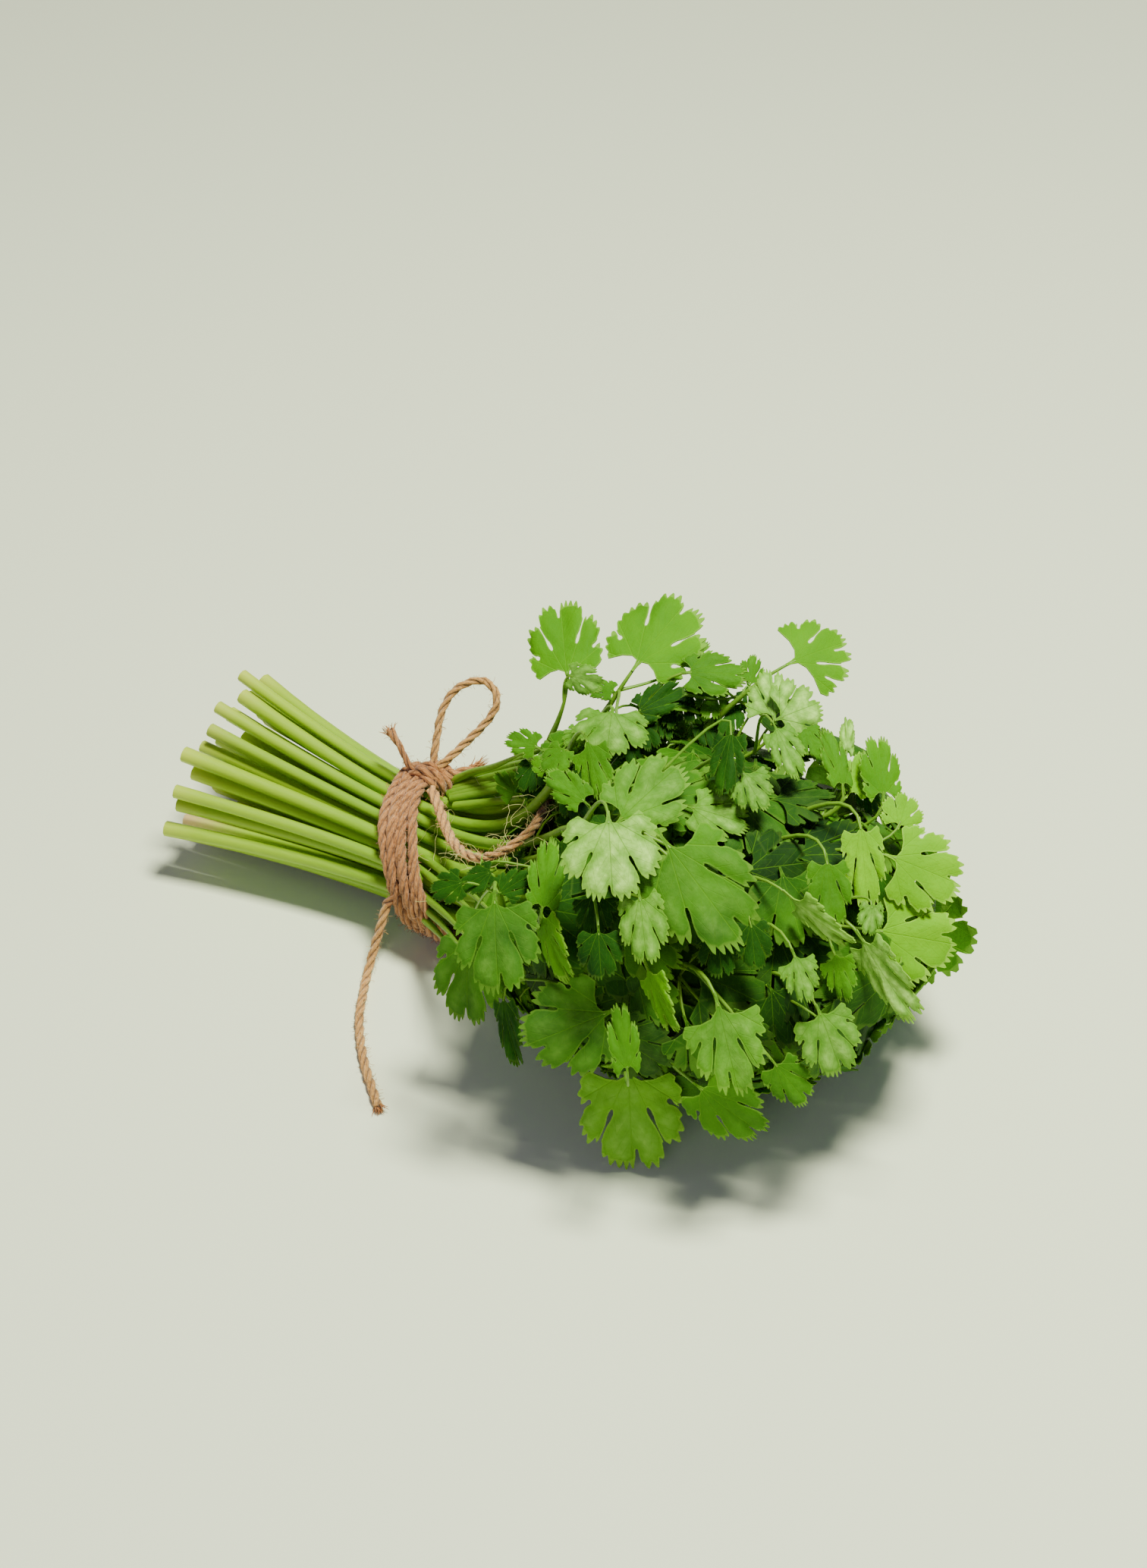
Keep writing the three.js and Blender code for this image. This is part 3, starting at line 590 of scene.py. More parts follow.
# Slim stems along the top of the neck, each from the tie to the ball through places in the view
neckStems = [
    [(590, 1040), (640, 1018), (690, 998), (735, 977), (774, 960)],
    [(592, 1046), (645, 1031), (698, 1014), (748, 996), (790, 975)],
    [(596, 1053), (650, 1042), (705, 1030), (760, 1016), (800, 1000)],
    [(600, 1062), (655, 1056), (712, 1050), (765, 1042), (815, 1030)],
    [(584, 1036), (618, 1019), (650, 1010), (690, 992)],
    [(592, 1043), (634, 1027), (672, 1016), (716, 1004), (762, 984)],
    [(595, 1050), (642, 1038), (692, 1026), (742, 1010), (786, 990)],
    [(588, 1038), (628, 1024), (668, 1010), (712, 998), (756, 980)],
    [(534, 1156), (566, 1186), (592, 1210), (616, 1236)],
    [(538, 1176), (564, 1200), (586, 1222), (606, 1246)],
    [(536, 1132), (576, 1162), (612, 1192), (640, 1220)],
    [(540, 1116), (586, 1150), (622, 1178), (652, 1206)],
    [(540, 1192), (562, 1214), (580, 1232), (596, 1252)],
]
for row in neckStems:
    first, last = row[0], row[-1]
    startDepth = tieDepth(*first, -3 if first[0] > 570 else -13)
    endDepth = max(frontDepth(*last) - 22, startDepth + 6)
    places = []
    for x, y in row:
        share = (x - first[0]) / (last[0] - first[0])
        places.append(viewPoint(x, y, startDepth + (endDepth - startDepth) * share ** 1.3))
    slimStems.append(smoothRoute(places, 16))

# ---- small leaflets low on the stems next to the tie, where the view shows them

# Rows as above; the lift is from the stem that carries the leaflet
neckRows = [
    (686, 1050, 652, 1016, 42, 0, 4, "mid"), (776, 976, 736, 992, 46, 0, 3, "mid"),
    (612, 1162, 566, 1176, 46, 0, 3, "deep"), (650, 1148, 604, 1168, 42, 20, 2, "deep"),
    (692, 1058, 716, 1008, 44, 10, 2, "deep"), (722, 1018, 702, 996, 26, 0, 3, "bright"),
    (742, 1098, 778, 1140, 44, 20, 2, "deep"), (690, 1128, 664, 1150, 34, 30, 2, "deep"),
    (760, 1020, 742, 1062, 38, 0, 1, "deep"),
    (700, 1150, 690, 1200, 48, 0, 0, "deep"), (812, 912, 770, 900, 34, 10, 2, "mid"),
    (744, 985, 716, 1018, 46, 10, 3, "mid"), (768, 962, 742, 978, 34, 0, 3, "fresh"),
    (706, 1004, 690, 1042, 44, -10, 2, "deep"), (748, 1030, 764, 1082, 52, 15, 1, "deep"),
    (796, 966, 772, 1000, 44, 0, 1, "deep"), (782, 1002, 752, 1040, 48, 20, 2, "deep"),
    (800, 940, 780, 972, 40, 0, 2, "mid"), (826, 960, 838, 1004, 44, 10, -4, "deep"),
    (846, 940, 862, 984, 46, 0, -4, "deep"), (870, 930, 880, 972, 40, 0, -4, "deep"),
    (905, 905, 915, 950, 40, 0, -3, "deep"), (940, 900, 935, 945, 44, 0, -3, "mid"),
    (968, 925, 955, 968, 40, 10, -3, "deep"), (890, 915, 880, 958, 40, 0, -3, "deep"),
    (1060, 955, 1085, 1000, 40, 0, -3, "mid"), (925, 950, 950, 985, 40, 0, -2, "deep"),
    (1135, 1030, 1155, 1072, 36, 0, -3, "deep"), (985, 900, 1000, 940, 40, 0, -3, "deep"),
]


# The nearest of the stems' own points to a line of sight, in front of the rest
def carryingPoint(x, y):
    best, bestScore = None, -1e9
    for path in [stem["points"][12:-2] for stem in stems] + [path[2:-1] for path in slimStems]:
        for point in path:
            px, py = pixelOf(point)
            score = (point - tieCentre).dot(toward) - 1.2 * max(0, math.hypot(px - x, py - y) - 8)
            if score > bestScore:
                best, bestScore = point, score
    return best


neckLeaflets = []
for row in neckRows:
    carrier = carryingPoint(row[0], row[1])
    leaflet = leafletAtDepth(row, (carrier - tieCentre).dot(toward) + row[6])
    leaflet["from"] = carrier
    neckLeaflets.append(leaflet)

# ---- more leaflets inside and behind, each on a stalk of its own

filling = {
    "count": 460,
    "tries": 16000,
    "shortest": 17,
    "longest": 29,
    "stalk": (5, 20),
    "longestStalk": 26,
    "viewBox": (620, 800, 1270, 1530),
    "viewDepth": (5, 45),
    "nearLimit": 0.92,
    "farLimit": 0.98,
    "spacing": 0.27,
    "clearOfShown": 0.4,
}


def ballMeasure(point):
    return divided(point - foliage["centre"], foliage["radii"]).length


def inView(point):
    return point.dot(rightward), point.dot(upward), point.dot(toward)


# Where a leaflet's blade may start, and the place on a stem that carries it: by turns anywhere round
# the bunch, and on a line of sight into the ball
def fillingPlace(n, carriers):
    swing = Vector((draw(n, 22) - 0.5, draw(n, 23) - 0.5, draw(n, 24) - 0.5)) * 2
    if n % 2:
        at = stems[n % len(stems)]["points"][13 + int(15 * draw(n, 21))]
        away = (envelopeNormal(at) + swing * 0.9 + Vector((0.35, 0, 0))).normalized()
        reach = filling["stalk"][0] + (filling["stalk"][1] - filling["stalk"][0]) * draw(n, 25)
        return at + away * reach, at, away, swing
    left, top, right, bottom = filling["viewBox"]
    x, y = left + (right - left) * draw(n, 31), top + (bottom - top) * draw(n, 32)
    nearest, deepest = filling["viewDepth"]
    base = viewPoint(x, y, frontDepth(x, y) - nearest - (deepest - nearest) * draw(n, 33))
    gaps = np.linalg.norm(carriers - np.array(base), axis=1)
    at = Vector(tuple(carriers[int(gaps.argmin())]))
    return base, at, (base - at).normalized(), swing


def fillLeaflets():
    spots = []
    for leaflet in [leaflet for stem in stems if stem["shown"] for leaflet in stem["leaflets"]] + neckLeaflets:
        spots.append((*inView(leafletMiddle(leaflet)), max(leaflet["width"], leaflet["length"])))
    for point in frontRoute[::3] + bowRoute[::3]:
        x, y, depth = inView(point)
        spots.append((x, y, depth - 6, 6))
    spots = np.array(spots)
    carriers = np.array([tuple(p) for path in [stem["points"][13:-2] for stem in stems] + slimStems for p in path])
    made, middles = [], np.full((filling["count"], 4), (1e6, 1e6, 1e6, 0))
    for n in range(1, filling["tries"]):
        base, at, away, swing = fillingPlace(n, carriers)
        if (base - at).length > filling["longestStalk"] or base.x < 20 or base.z < 3:
            continue
        normal = (envelopeNormal(base) + toward * 0.3 + swing * 0.5).normalized()
        forward = away + Vector((0.4, 0, -0.5)) + swing.yzx * 0.5
        forward = (forward - normal * forward.dot(normal)).normalized()
        length = filling["shortest"] + (filling["longest"] - filling["shortest"]) * draw(n, 26)
        tip, middle = base + forward * length, base + forward * (0.5 * length)
        facing = envelopeNormal(base).dot(toward)
        limit = filling["nearLimit"] if facing > 0.1 else filling["farLimit"]
        inside = ballMeasure(middle)
        if max(ballMeasure(base), ballMeasure(tip)) > limit or tip.z < 3 or inside < 0.4:
            continue
        # not between the eye and a leaflet that the view shows, nor on top of another of these
        x, y, depth = inView(middle)
        beside = np.hypot(spots[:, 0] - x, spots[:, 1] - y) < filling["clearOfShown"] * (length + spots[:, 3])
        if np.any(beside & (spots[:, 2] < depth + 3)):
            continue
        gaps = np.linalg.norm(middles[:, :3] - np.array(middle), axis=1)
        if np.any(gaps < filling["spacing"] * (length + middles[:, 3])):
            continue
        # painted shade: filling leaflets get dark tones for the shade among the leaves; outer ones on the side away
        # from the eye get some lighter
        tone = 0.06 + 0.26 * draw(n, 27) + (0.3 * draw(n, 28) if facing < 0.1 and inside > 0.75 else 0)
        middles[len(made)] = (*middle, length)
        made.append({
            "base": base, "along": forward, "normal": normal, "length": length,
            "width": length * (0.95 + 0.25 * draw(n, 29)), "tone": (tone, 0.08 * draw(n, 30)),
            "from": at, "outer": inside > 0.68,
        })
        if len(made) == filling["count"]:
            break
    return made


fillers = fillLeaflets()
print("filling leaflets:", len(fillers))

# ---- leaflet blades

# Each pattern has the angles of its two shoulders from the midrib, the radius of the margin at some angles,
# and its slots between lobes: an angle, a share of the radius, and how far the mouth gapes from 0 to 1
blades = {
    "thickness": 0.4,
    "cup": 0.28,
    "droop": 0.12,
    "groove": 0.024,
    "ripple": 0.045,
    "toothHeight": 0.085,
    "toothPitch": {3: 0.105, 2: 0.15, 1: 0.24},
    "mouthDip": 0.15,
    "veinStep": 31,
    "patterns": [
        {"shoulders": (84, 80), "slots": [(29, 0.46, 0.1), (-31, 0.5, 0.0), (-4, 0.16, 0.8), (56, 0.2, 0.5), (-58, 0.24, 0.1)],
         "profile": ((0, 1.0), (30, 0.95), (55, 0.8), (75, 0.62), (90, 0.46))},
        {"shoulders": (97, 94), "slots": [(33, 0.42, 0.0), (-30, 0.36, 0.3), (3, 0.14, 0.9), (66, 0.3, 0.1), (-68, 0.28, 0.0)],
         "profile": ((0, 1.0), (30, 0.98), (55, 0.88), (80, 0.68), (98, 0.46))},
        {"shoulders": (74, 78), "slots": [(27, 0.52, 0.2), (-26, 0.44, 0.0), (6, 0.2, 0.6), (50, 0.26, 0.6), (-52, 0.16, 0.6)],
         "profile": ((0, 1.0), (30, 0.94), (55, 0.84), (78, 0.7), (90, 0.5))},
        {"shoulders": (90, 86), "slots": [(-34, 0.54, 0.0), (30, 0.32, 0.5), (-8, 0.15, 0.8), (60, 0.22, 0.0), (-64, 0.2, 0.5)],
         "profile": ((0, 1.0), (30, 0.96), (55, 0.82), (75, 0.66), (92, 0.44))},
    ],
}

# Points across one tooth, as a share of its width and of its height, by how finely the blade is made
toothForm = {
    3: ((0.0, 0.0), (0.16, 0.3), (0.4, 0.9), (0.62, 1.0), (0.86, 0.42)),
    2: ((0.0, 0.0), (0.35, 0.9), (0.7, 0.9)),
    1: ((0.0, 0.1), (0.5, 0.9)),
}
# A slot from its mouth in: a share of its depth, then half its width when closed and when gaping
slotForm = {
    3: ((0.97, 0.010, 0.055), (0.72, 0.006, 0.038), (0.5, 0.010, 0.028), (0.32, 0.026, 0.022), (0.14, 0.028, 0.016),
        (0.03, 0.014, 0.01)),
    2: ((0.97, 0.012, 0.05), (0.4, 0.02, 0.025), (0.06, 0.02, 0.012)),
    1: ((0.95, 0.03, 0.05), (0.1, 0.02, 0.02)),
}


def marginRadius(pattern, angle):
    dip = sum(min(slot[1], 0.4) * math.exp(-((angle - slot[0]) / 6) ** 2) for slot in pattern["slots"])
    reach = np.interp(abs(angle), *zip(*pattern["profile"]))
    return float(reach) * (1 - blades["mouthDip"] * dip / 0.4)


def toothedMargin(pattern, detail):
    # teeth of about one pitch, a little uneven, from the right shoulder to the left
    points = []
    angle, lot = float(pattern["shoulders"][0]), 0
    while angle > -pattern["shoulders"][1]:
        lot += 1
        radius = marginRadius(pattern, angle)
        width = math.degrees(blades["toothPitch"][detail] / radius) * (0.75 + 0.5 * draw(lot, 71))
        height = blades["toothHeight"] * (0.8 + 0.4 * draw(lot, 72))
        for share, rise in toothForm[detail]:
            at = angle - share * width
            points.append((at, marginRadius(pattern, at) * (1 + height * (rise - 0.5))))
        angle -= width
    return points


def slotPoints(pattern, slot, detail):
    angle, depth, gape = slot
    outer = marginRadius(pattern, angle)
    sides = []
    for share, closed, gaping in slotForm[detail]:
        radius = outer * (1 - depth * (1 - share))
        sides.append((math.degrees((closed + (gaping - closed) * gape) / radius), radius))
    return [(angle + half, r) for half, r in sides] + [(angle - half, r) for half, r in reversed(sides)]


# The outline from the right of the stalk round the tip to its left, in units of the leaflet's length and width
def bladeOutline(pattern, detail):
    polar = toothedMargin(pattern, detail)
    for slot in pattern["slots"]:
        if detail > 1 or slot[1] > 0.3:
            cut = slotPoints(pattern, slot, detail)
            before = [p for p in polar if p[0] > cut[0][0] + 0.8]
            after = [p for p in polar if p[0] < cut[-1][0] - 0.8]
            polar = before + cut + after
    right, left = polar[0], polar[-1]
    shares = ((0.42, 0.16), (0.64, 0.36), (0.84, 0.62)) if detail > 1 else ((0.6, 0.3),)
    neck = [(right[0] * a, right[1] * r) for a, r in shares]
    polar = neck + polar + [(left[0] * a, left[1] * r) for a, r in reversed(shares)]
    flat = [(r * math.sin(math.radians(a)), r * math.cos(math.radians(a))) for a, r in polar]
    spread = max(x for x, _ in flat) - min(x for x, _ in flat)
    pattern["spread"] = spread
    points = [(x / spread, y) for x, y in flat]
    return [(0.014, -0.09), (0.02, 0.0)] + points + [(-0.02, 0.0), (-0.014, -0.09)]


def veinLines(pattern):
    lines = []
    for turns in (0, 1, -1, 2, -2):
        angle = turns * blades["veinStep"]
        reach = marginRadius(pattern, angle) * 0.86
        end = np.array([reach * math.sin(math.radians(angle)) / pattern["spread"], reach * math.cos(math.radians(angle))])
        lines.append((np.zeros(2), end, 1 - 0.2 * abs(turns)))
        side = np.array([end[1], -end[0]])
        for share in (0.36, 0.56, 0.74):
            for sign in (1, -1):
                root = end * share
                lines.append((root, root + end * 0.2 + side * (sign * 0.17 * (1.05 - share)), 0.4))
    return lines


def insideOutline(points, outline):
    x, y = points[:, 0], points[:, 1]
    within = np.zeros(len(points), bool)
    for (ax, ay), (bx, by) in zip(outline, np.roll(outline, -1, axis=0)):
        crossing = (ay > y) != (by > y)
        with np.errstate(divide="ignore", invalid="ignore"):
            within ^= crossing & (x < (bx - ax) * (y - ay) / (by - ay) + ax)
    return within


def distanceToSegments(points, segments):
    best = np.full(len(points), 9.0)
    strength = np.zeros(len(points))
    for a, b, weight in segments:
        run = b - a
        t = np.clip((points - a) @ run / (run @ run), 0, 1)
        d = np.linalg.norm(points - a - t[:, None] * run, axis=1)
        nearer = d < best
        best[nearer], strength[nearer] = d[nearer], weight
    return best, strength


# One flat blade of unit size: points, triangles, its rim, the veins and the puckering between them
def bladeMaster(pattern, detail, spacing):
    outline = np.array(bladeOutline(pattern, detail))
    veins = veinLines(pattern)
    grid = []
    rows = int(1.15 / spacing)
    for j in range(rows):
        for i in range(-rows, rows + 1):
            grid.append(((i + 0.5 * (j % 2)) * spacing, -0.02 + j * spacing * 0.9))
    grid = np.array(grid)
    outlineEdges = [(a, b, 1.0) for a, b in zip(outline, np.roll(outline, -1, axis=0))]
    roomy = distanceToSegments(grid, outlineEdges)[0] > spacing * 0.5
    grid = grid[insideOutline(grid, outline) & roomy]
    points = [tuple(p) for p in outline]
    edges = [(i, (i + 1) % len(outline)) for i in range(len(outline))]
    if detail > 1:
        grid = grid[distanceToSegments(grid, veins)[0] > spacing * 0.45]
        for a, b, strength in veins:
            if detail == 2 and strength < 0.55:
                continue
            steps = max(2, int(np.linalg.norm(b - a) / spacing))
            line = [a + (b - a) * (s / steps) for s in range(steps + 1)]
            line = np.array(line)[insideOutline(np.array(line), outline)]
            if len(line) > 1:
                edges += [(len(points) + s, len(points) + s + 1) for s in range(len(line) - 1)]
                points += [tuple(p) for p in line]
    points += [tuple(p) for p in grid]
    flat, _, faces, *_ = geometry.delaunay_2d_cdt(
        [Vector(p) for p in points], edges, [list(range(len(outline)))], 1, 1e-5)
    flat = np.array([tuple(p) for p in flat])
    faces = np.array([f[:] for f in faces if len(f) == 3])
    middle = flat[faces].mean(axis=1)
    faces = faces[insideOutline(middle, outline)]
    a, b, c = flat[faces[:, 0]], flat[faces[:, 1]], flat[faces[:, 2]]
    area = (b[:, 0] - a[:, 0]) * (c[:, 1] - a[:, 1]) - (b[:, 1] - a[:, 1]) * (c[:, 0] - a[:, 0])
    faces[area < 0] = faces[area < 0][:, ::-1]
    faces = faces[np.abs(area) > 1e-9]
    halfEdges = np.concatenate([faces[:, [0, 1]], faces[:, [1, 2]], faces[:, [2, 0]]])
    known = {tuple(e) for e in halfEdges.tolist()}
    rim = np.array([e for e in halfEdges.tolist() if (e[1], e[0]) not in known])
    distance = distanceToSegments(flat, veins)[0]
    edgeDistance = distanceToSegments(flat, outlineEdges)[0]
    pucker = (1 - np.exp(-(distance / 0.05) ** 2)) * np.clip(edgeDistance / 0.06, 0, 1)
    across = flat[:, 0] * pattern["spread"]
    angle = np.arctan2(across, np.maximum(flat[:, 1], 1e-4))
    return {"flat": flat, "faces": faces, "rim": rim, "across": across, "pucker": pucker, "edge": edgeDistance,
            "angle": angle, "reach": np.linalg.norm(flat, axis=1)}


# Lays copies of the masters in place and joins them into one closed-shelled mesh
def bladePiece(name, leaflets, masters, material):
    allPoints, allFaces = [], []
    values = {"tone": [], "painted_sheen": [], "across": [], "up": [], "edge": [], "puff": []}
    start = 0
    for n, leaflet in enumerate(leaflets):
        master = masters[n % len(masters)]
        along, normal = np.array(leaflet["along"]), np.array(leaflet["normal"])
        across = np.cross(along, normal)
        x = master["flat"][:, 0] * leaflet["width"]
        y = master["flat"][:, 1] * leaflet["length"]
        length = leaflet["length"]
        rise = -blades["cup"] * x * x / length - blades["droop"] * np.maximum(y, 0) ** 2 / length
        lot = draw(n, 41)
        ripple = np.sin(master["angle"] * (4.2 + 1.8 * lot) + 20 * lot) * master["reach"] ** 2
        rise = rise + length * (blades["groove"] * master["pucker"] + blades["ripple"] * ripple)
        place = np.array(leaflet["base"]) + np.outer(x, across) + np.outer(y, along) + np.outer(rise, normal)
        outward = np.array([leaflet["base"].x - foliage["centre"].x, leaflet["base"].y - foliage["centre"].y, 0])
        outward = outward / max(np.linalg.norm(outward), 1e-6)
        sunk = np.maximum(0, foliage["floorGap"] - place[:, 2])
        place = place + np.outer(sunk, outward)
        place[:, 2] += sunk
        half = normal * (blades["thickness"] / 2)
        count = len(place)
        faces, rim = master["faces"] + start, master["rim"] + start
        # the upper face keeps the master's order, the lower one has it reversed, and a wall joins their rims
        allPoints += [place + half, place - half]
        allFaces += [faces, faces[:, ::-1] + count]
        a, b = rim[:, 0], rim[:, 1]
        allFaces += [np.stack([b, a, a + count], axis=1), np.stack([b, a + count, b + count], axis=1)]
        for key, value in (("tone", leaflet["tone"][0]), ("painted_sheen", leaflet["tone"][1])):
            values[key].append(np.full(2 * count, value))
        values["across"] += [master["across"]] * 2
        values["up"] += [master["flat"][:, 1]] * 2
        values["puff"] += [master["pucker"], master["pucker"]]
        values["edge"] += [master["edge"], master["edge"]]
        start += 2 * count
    points, faces = np.concatenate(allPoints) * mm, np.concatenate(allFaces)
    mesh = bpy.data.meshes.new(name)
    mesh.from_pydata(points.tolist(), [], faces.tolist())
    for key, parts in values.items():
        mesh.attributes.new(key, "FLOAT", "POINT").data.foreach_set("value", np.concatenate(parts).astype(np.float32))
    mesh.shade_smooth()
    mesh.set_sharp_from_angle(angle=math.radians(55))
    mesh.materials.append(material)
    piece = bpy.data.objects.new(name, mesh)
    bpy.context.scene.collection.objects.link(piece)
    print(name, len(leaflets), "leaflets,", len(faces), "triangles")
    return piece


# Coriander leaf: a thin grown blade, satin on top, with fine sunken veins; the youngest leaflets are yellow-green,
# and the deep greens are partly painted shade; pale flecks of painted sheen lie on the puffed parts of some leaflets
def leafMaterial():
    material, tree, surface = newMaterial("coriander_leaf")

    def carried(name):
        return addNode(tree, "ShaderNodeAttribute", attribute_name=name).outputs["Fac"]

    def maths(operation, a, b=0.0, c=0.0):
        return addNode(tree, "ShaderNodeMath", {0: a, 1: b, 2: c}, operation=operation).outputs[0]

    def product(a, b, c=0.0):
        return maths("MULTIPLY_ADD", a, b, c)

    def mixed(share, first, second):
        return addNode(tree, "ShaderNodeMix", {0: share, 6: first, 7: linear(second)}, data_type="RGBA").outputs[2]

    def line(distance, halfWidth, strength):
        return addNode(tree, "ShaderNodeMapRange", {0: distance, 1: 0.0, 2: halfWidth, 3: strength, 4: 0.0}).outputs[0]

    place = addNode(tree, "ShaderNodeTexCoord").outputs["Object"]
    mottle = addNode(tree, "ShaderNodeTexNoise", {"Vector": place, "Scale": 260.0, "Detail": 3.0}).outputs[0]
    patches = addNode(tree, "ShaderNodeTexNoise", {"Vector": place, "Scale": 60.0, "Detail": 2.0}).outputs[0]
    # veins fan out from the stalk, one for each step of the angle, and each has side veins along it
    across, up = carried("across"), carried("up")
    turn = maths("PINGPONG", maths("ARCTAN2", across, up), math.radians(blades["veinStep"] / 2))
    reach = maths("SQRT", product(across, across, product(up, up)))
    aside = maths("MULTIPLY", reach, maths("SINE", turn))
    sideVein = maths("PINGPONG", product(aside, -1.2, maths("MULTIPLY", reach, maths("COSINE", turn))), 0.07)
    vein = maths("MAXIMUM", line(aside, 0.011, 1.0), line(sideVein, 0.008, 0.5))
    painted_sheen = carried("painted_sheen")
    shift = maths("SUBTRACT", patches, 0.5)
    green = colourRamp(tree, product(shift, 0.5, carried("tone")), [
        (0.0, "#0c280c"), (0.2, "#22500e"), (0.45, "#447e0c"), (0.7, "#589600"), (1.0, "#76b400"),
    ])
    # painted sheen: a pale highlight painted on the puffed parts between the veins, in flecks, fading out towards the
    # margin
    inside = addNode(tree, "ShaderNodeMapRange", {0: carried("edge"), 1: 0.0, 2: 0.12, 3: 0.3, 4: 1.0}).outputs[0]
    grain = addNode(tree, "ShaderNodeTexNoise", {"Vector": place, "Scale": 620.0, "Detail": 4.0}).outputs[0]
    flecks = product(maths("MULTIPLY", mottle, grain), 3.0, 0.2)
    paintedSheenShare = maths("MULTIPLY", product(painted_sheen, product(carried("puff"), 0.35, 0.5)), maths("MULTIPLY", flecks, inside))
    withPaintedSheen = mixed(product(paintedSheenShare, product(vein, -0.5, 1.0)), green, "#b6e86e")
    veined = mixed(product(product(vein, product(painted_sheen, -1.0, 1.0)), 0.3), withPaintedSheen, "#7cb428")
    # painted highlight: a thin pale rim along the margin, stronger on the yellower tones
    rim = maths("MULTIPLY", line(carried("edge"), 0.018, 0.4), carried("tone"))
    tree.links.new(mixed(rim, veined, "#b4dc58"), surface.inputs["Base Color"])
    fine = addNode(tree, "ShaderNodeTexNoise", {"Vector": place, "Scale": 1100.0, "Detail": 2.0}).outputs[0]
    bump = addNode(tree, "ShaderNodeBump", {"Height": product(vein, -0.9, fine), "Strength": 0.5, "Distance": 0.0003})
    tree.links.new(bump.outputs[0], surface.inputs["Normal"])
    surface.inputs["Roughness"].default_value = 0.6
    surface.inputs["Specular IOR Level"].default_value = 0.05
    surface.inputs["Subsurface Weight"].default_value = 0.1
    surface.inputs["Subsurface Radius"].default_value = (0.4, 1.0, 0.1)
    surface.inputs["Subsurface Scale"].default_value = 0.0015
    return material


leafyNodes = sorted(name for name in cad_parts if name.startswith("leafy_stem"))
leafGreen = leafMaterial()
fineMasters = [bladeMaster(p, 3, 0.055) for p in blades["patterns"]]
plainMasters = [bladeMaster(p, 2, 0.12) for p in blades["patterns"]]
coarseMasters = [bladeMaster(p, 1, 0.2) for p in blades["patterns"]]
print("blade triangles:", [[len(m["faces"]) for m in masters] for masters in (fineMasters, plainMasters, coarseMasters)])
nearLeaflets = [leaflet for stem in stems if stem["shown"] for leaflet in stem["leaflets"]] + neckLeaflets
farLeaflets = [leaflet for stem in stems if not stem["shown"] for leaflet in stem["leaflets"]]
settle(bladePiece("near_leaves", nearLeaflets, fineMasters, leafGreen), leafyNodes)
settle(bladePiece("far_leaves", farLeaflets, plainMasters, leafGreen), leafyNodes)
outerFillers = [leaflet for leaflet in fillers if leaflet["outer"]]
innerFillers = [leaflet for leaflet in fillers if not leaflet["outer"]]
settle(bladePiece("outer_filling", outerFillers, plainMasters, leafGreen), [])
settle(bladePiece("inner_filling", innerFillers, coarseMasters, leafGreen), [])

# ---- stems and stalks


# Coriander stem: a smooth, finely ribbed, juicy green stalk, paler and yellower towards the cut
def stemMaterial():
    material, tree, surface = newMaterial("coriander_stem")
    along = addNode(tree, "ShaderNodeAttribute", attribute_name="along").outputs["Fac"]
    lot = addNode(tree, "ShaderNodeAttribute", attribute_name="lot").outputs["Fac"]
    place = addNode(tree, "ShaderNodeTexCoord").outputs["Object"]
    # streaks run along the bunch: the pattern is stretched ten times in that direction
    stretched = addNode(tree, "ShaderNodeMapping", {"Vector": place, "Scale": (0.1, 1.0, 1.0)}).outputs[0]
    streaks = addNode(tree, "ShaderNodeTexNoise", {"Vector": stretched, "Scale": 900.0, "Detail": 3.0}).outputs[0]
    base = colourRamp(tree, along, [
        (0.0, "#c8d83c"), (0.04, "#a8c808"), (0.25, "#84b000"), (0.45, "#689c04"), (0.7, "#487c08"), (1.0, "#508410"),
    ])
    lotShare = addNode(tree, "ShaderNodeMath", {0: lot, 1: 0.45}, operation="MULTIPLY").outputs[0]
    deeper = addNode(tree, "ShaderNodeMix", {0: lotShare, 6: base, 7: linear("#3d7a1a")}, data_type="RGBA").outputs[2]
    streakShare = addNode(tree, "ShaderNodeMath", {0: streaks, 1: 0.25}, operation="MULTIPLY").outputs[0]
    colour = addNode(tree, "ShaderNodeMix", {0: streakShare, 6: deeper, 7: linear("#c8e050")}, data_type="RGBA").outputs[2]
    dry = addNode(tree, "ShaderNodeAttribute", attribute_name="dry").outputs["Fac"]
    colour = addNode(tree, "ShaderNodeMix", {0: dry, 6: colour, 7: linear("#c8a07c")}, data_type="RGBA").outputs[2]
    tree.links.new(colour, surface.inputs["Base Color"])
    bump = addNode(tree, "ShaderNodeBump", {"Height": streaks, "Strength": 0.3, "Distance": 0.0002})
    tree.links.new(bump.outputs[0], surface.inputs["Normal"])
    surface.inputs["Roughness"].default_value = 0.42
    surface.inputs["Specular IOR Level"].default_value = 0.3
    surface.inputs["Subsurface Weight"].default_value = 0.2
    surface.inputs["Subsurface Radius"].default_value = (0.6, 1.0, 0.2)
    surface.inputs["Subsurface Scale"].default_value = 0.003
    return material


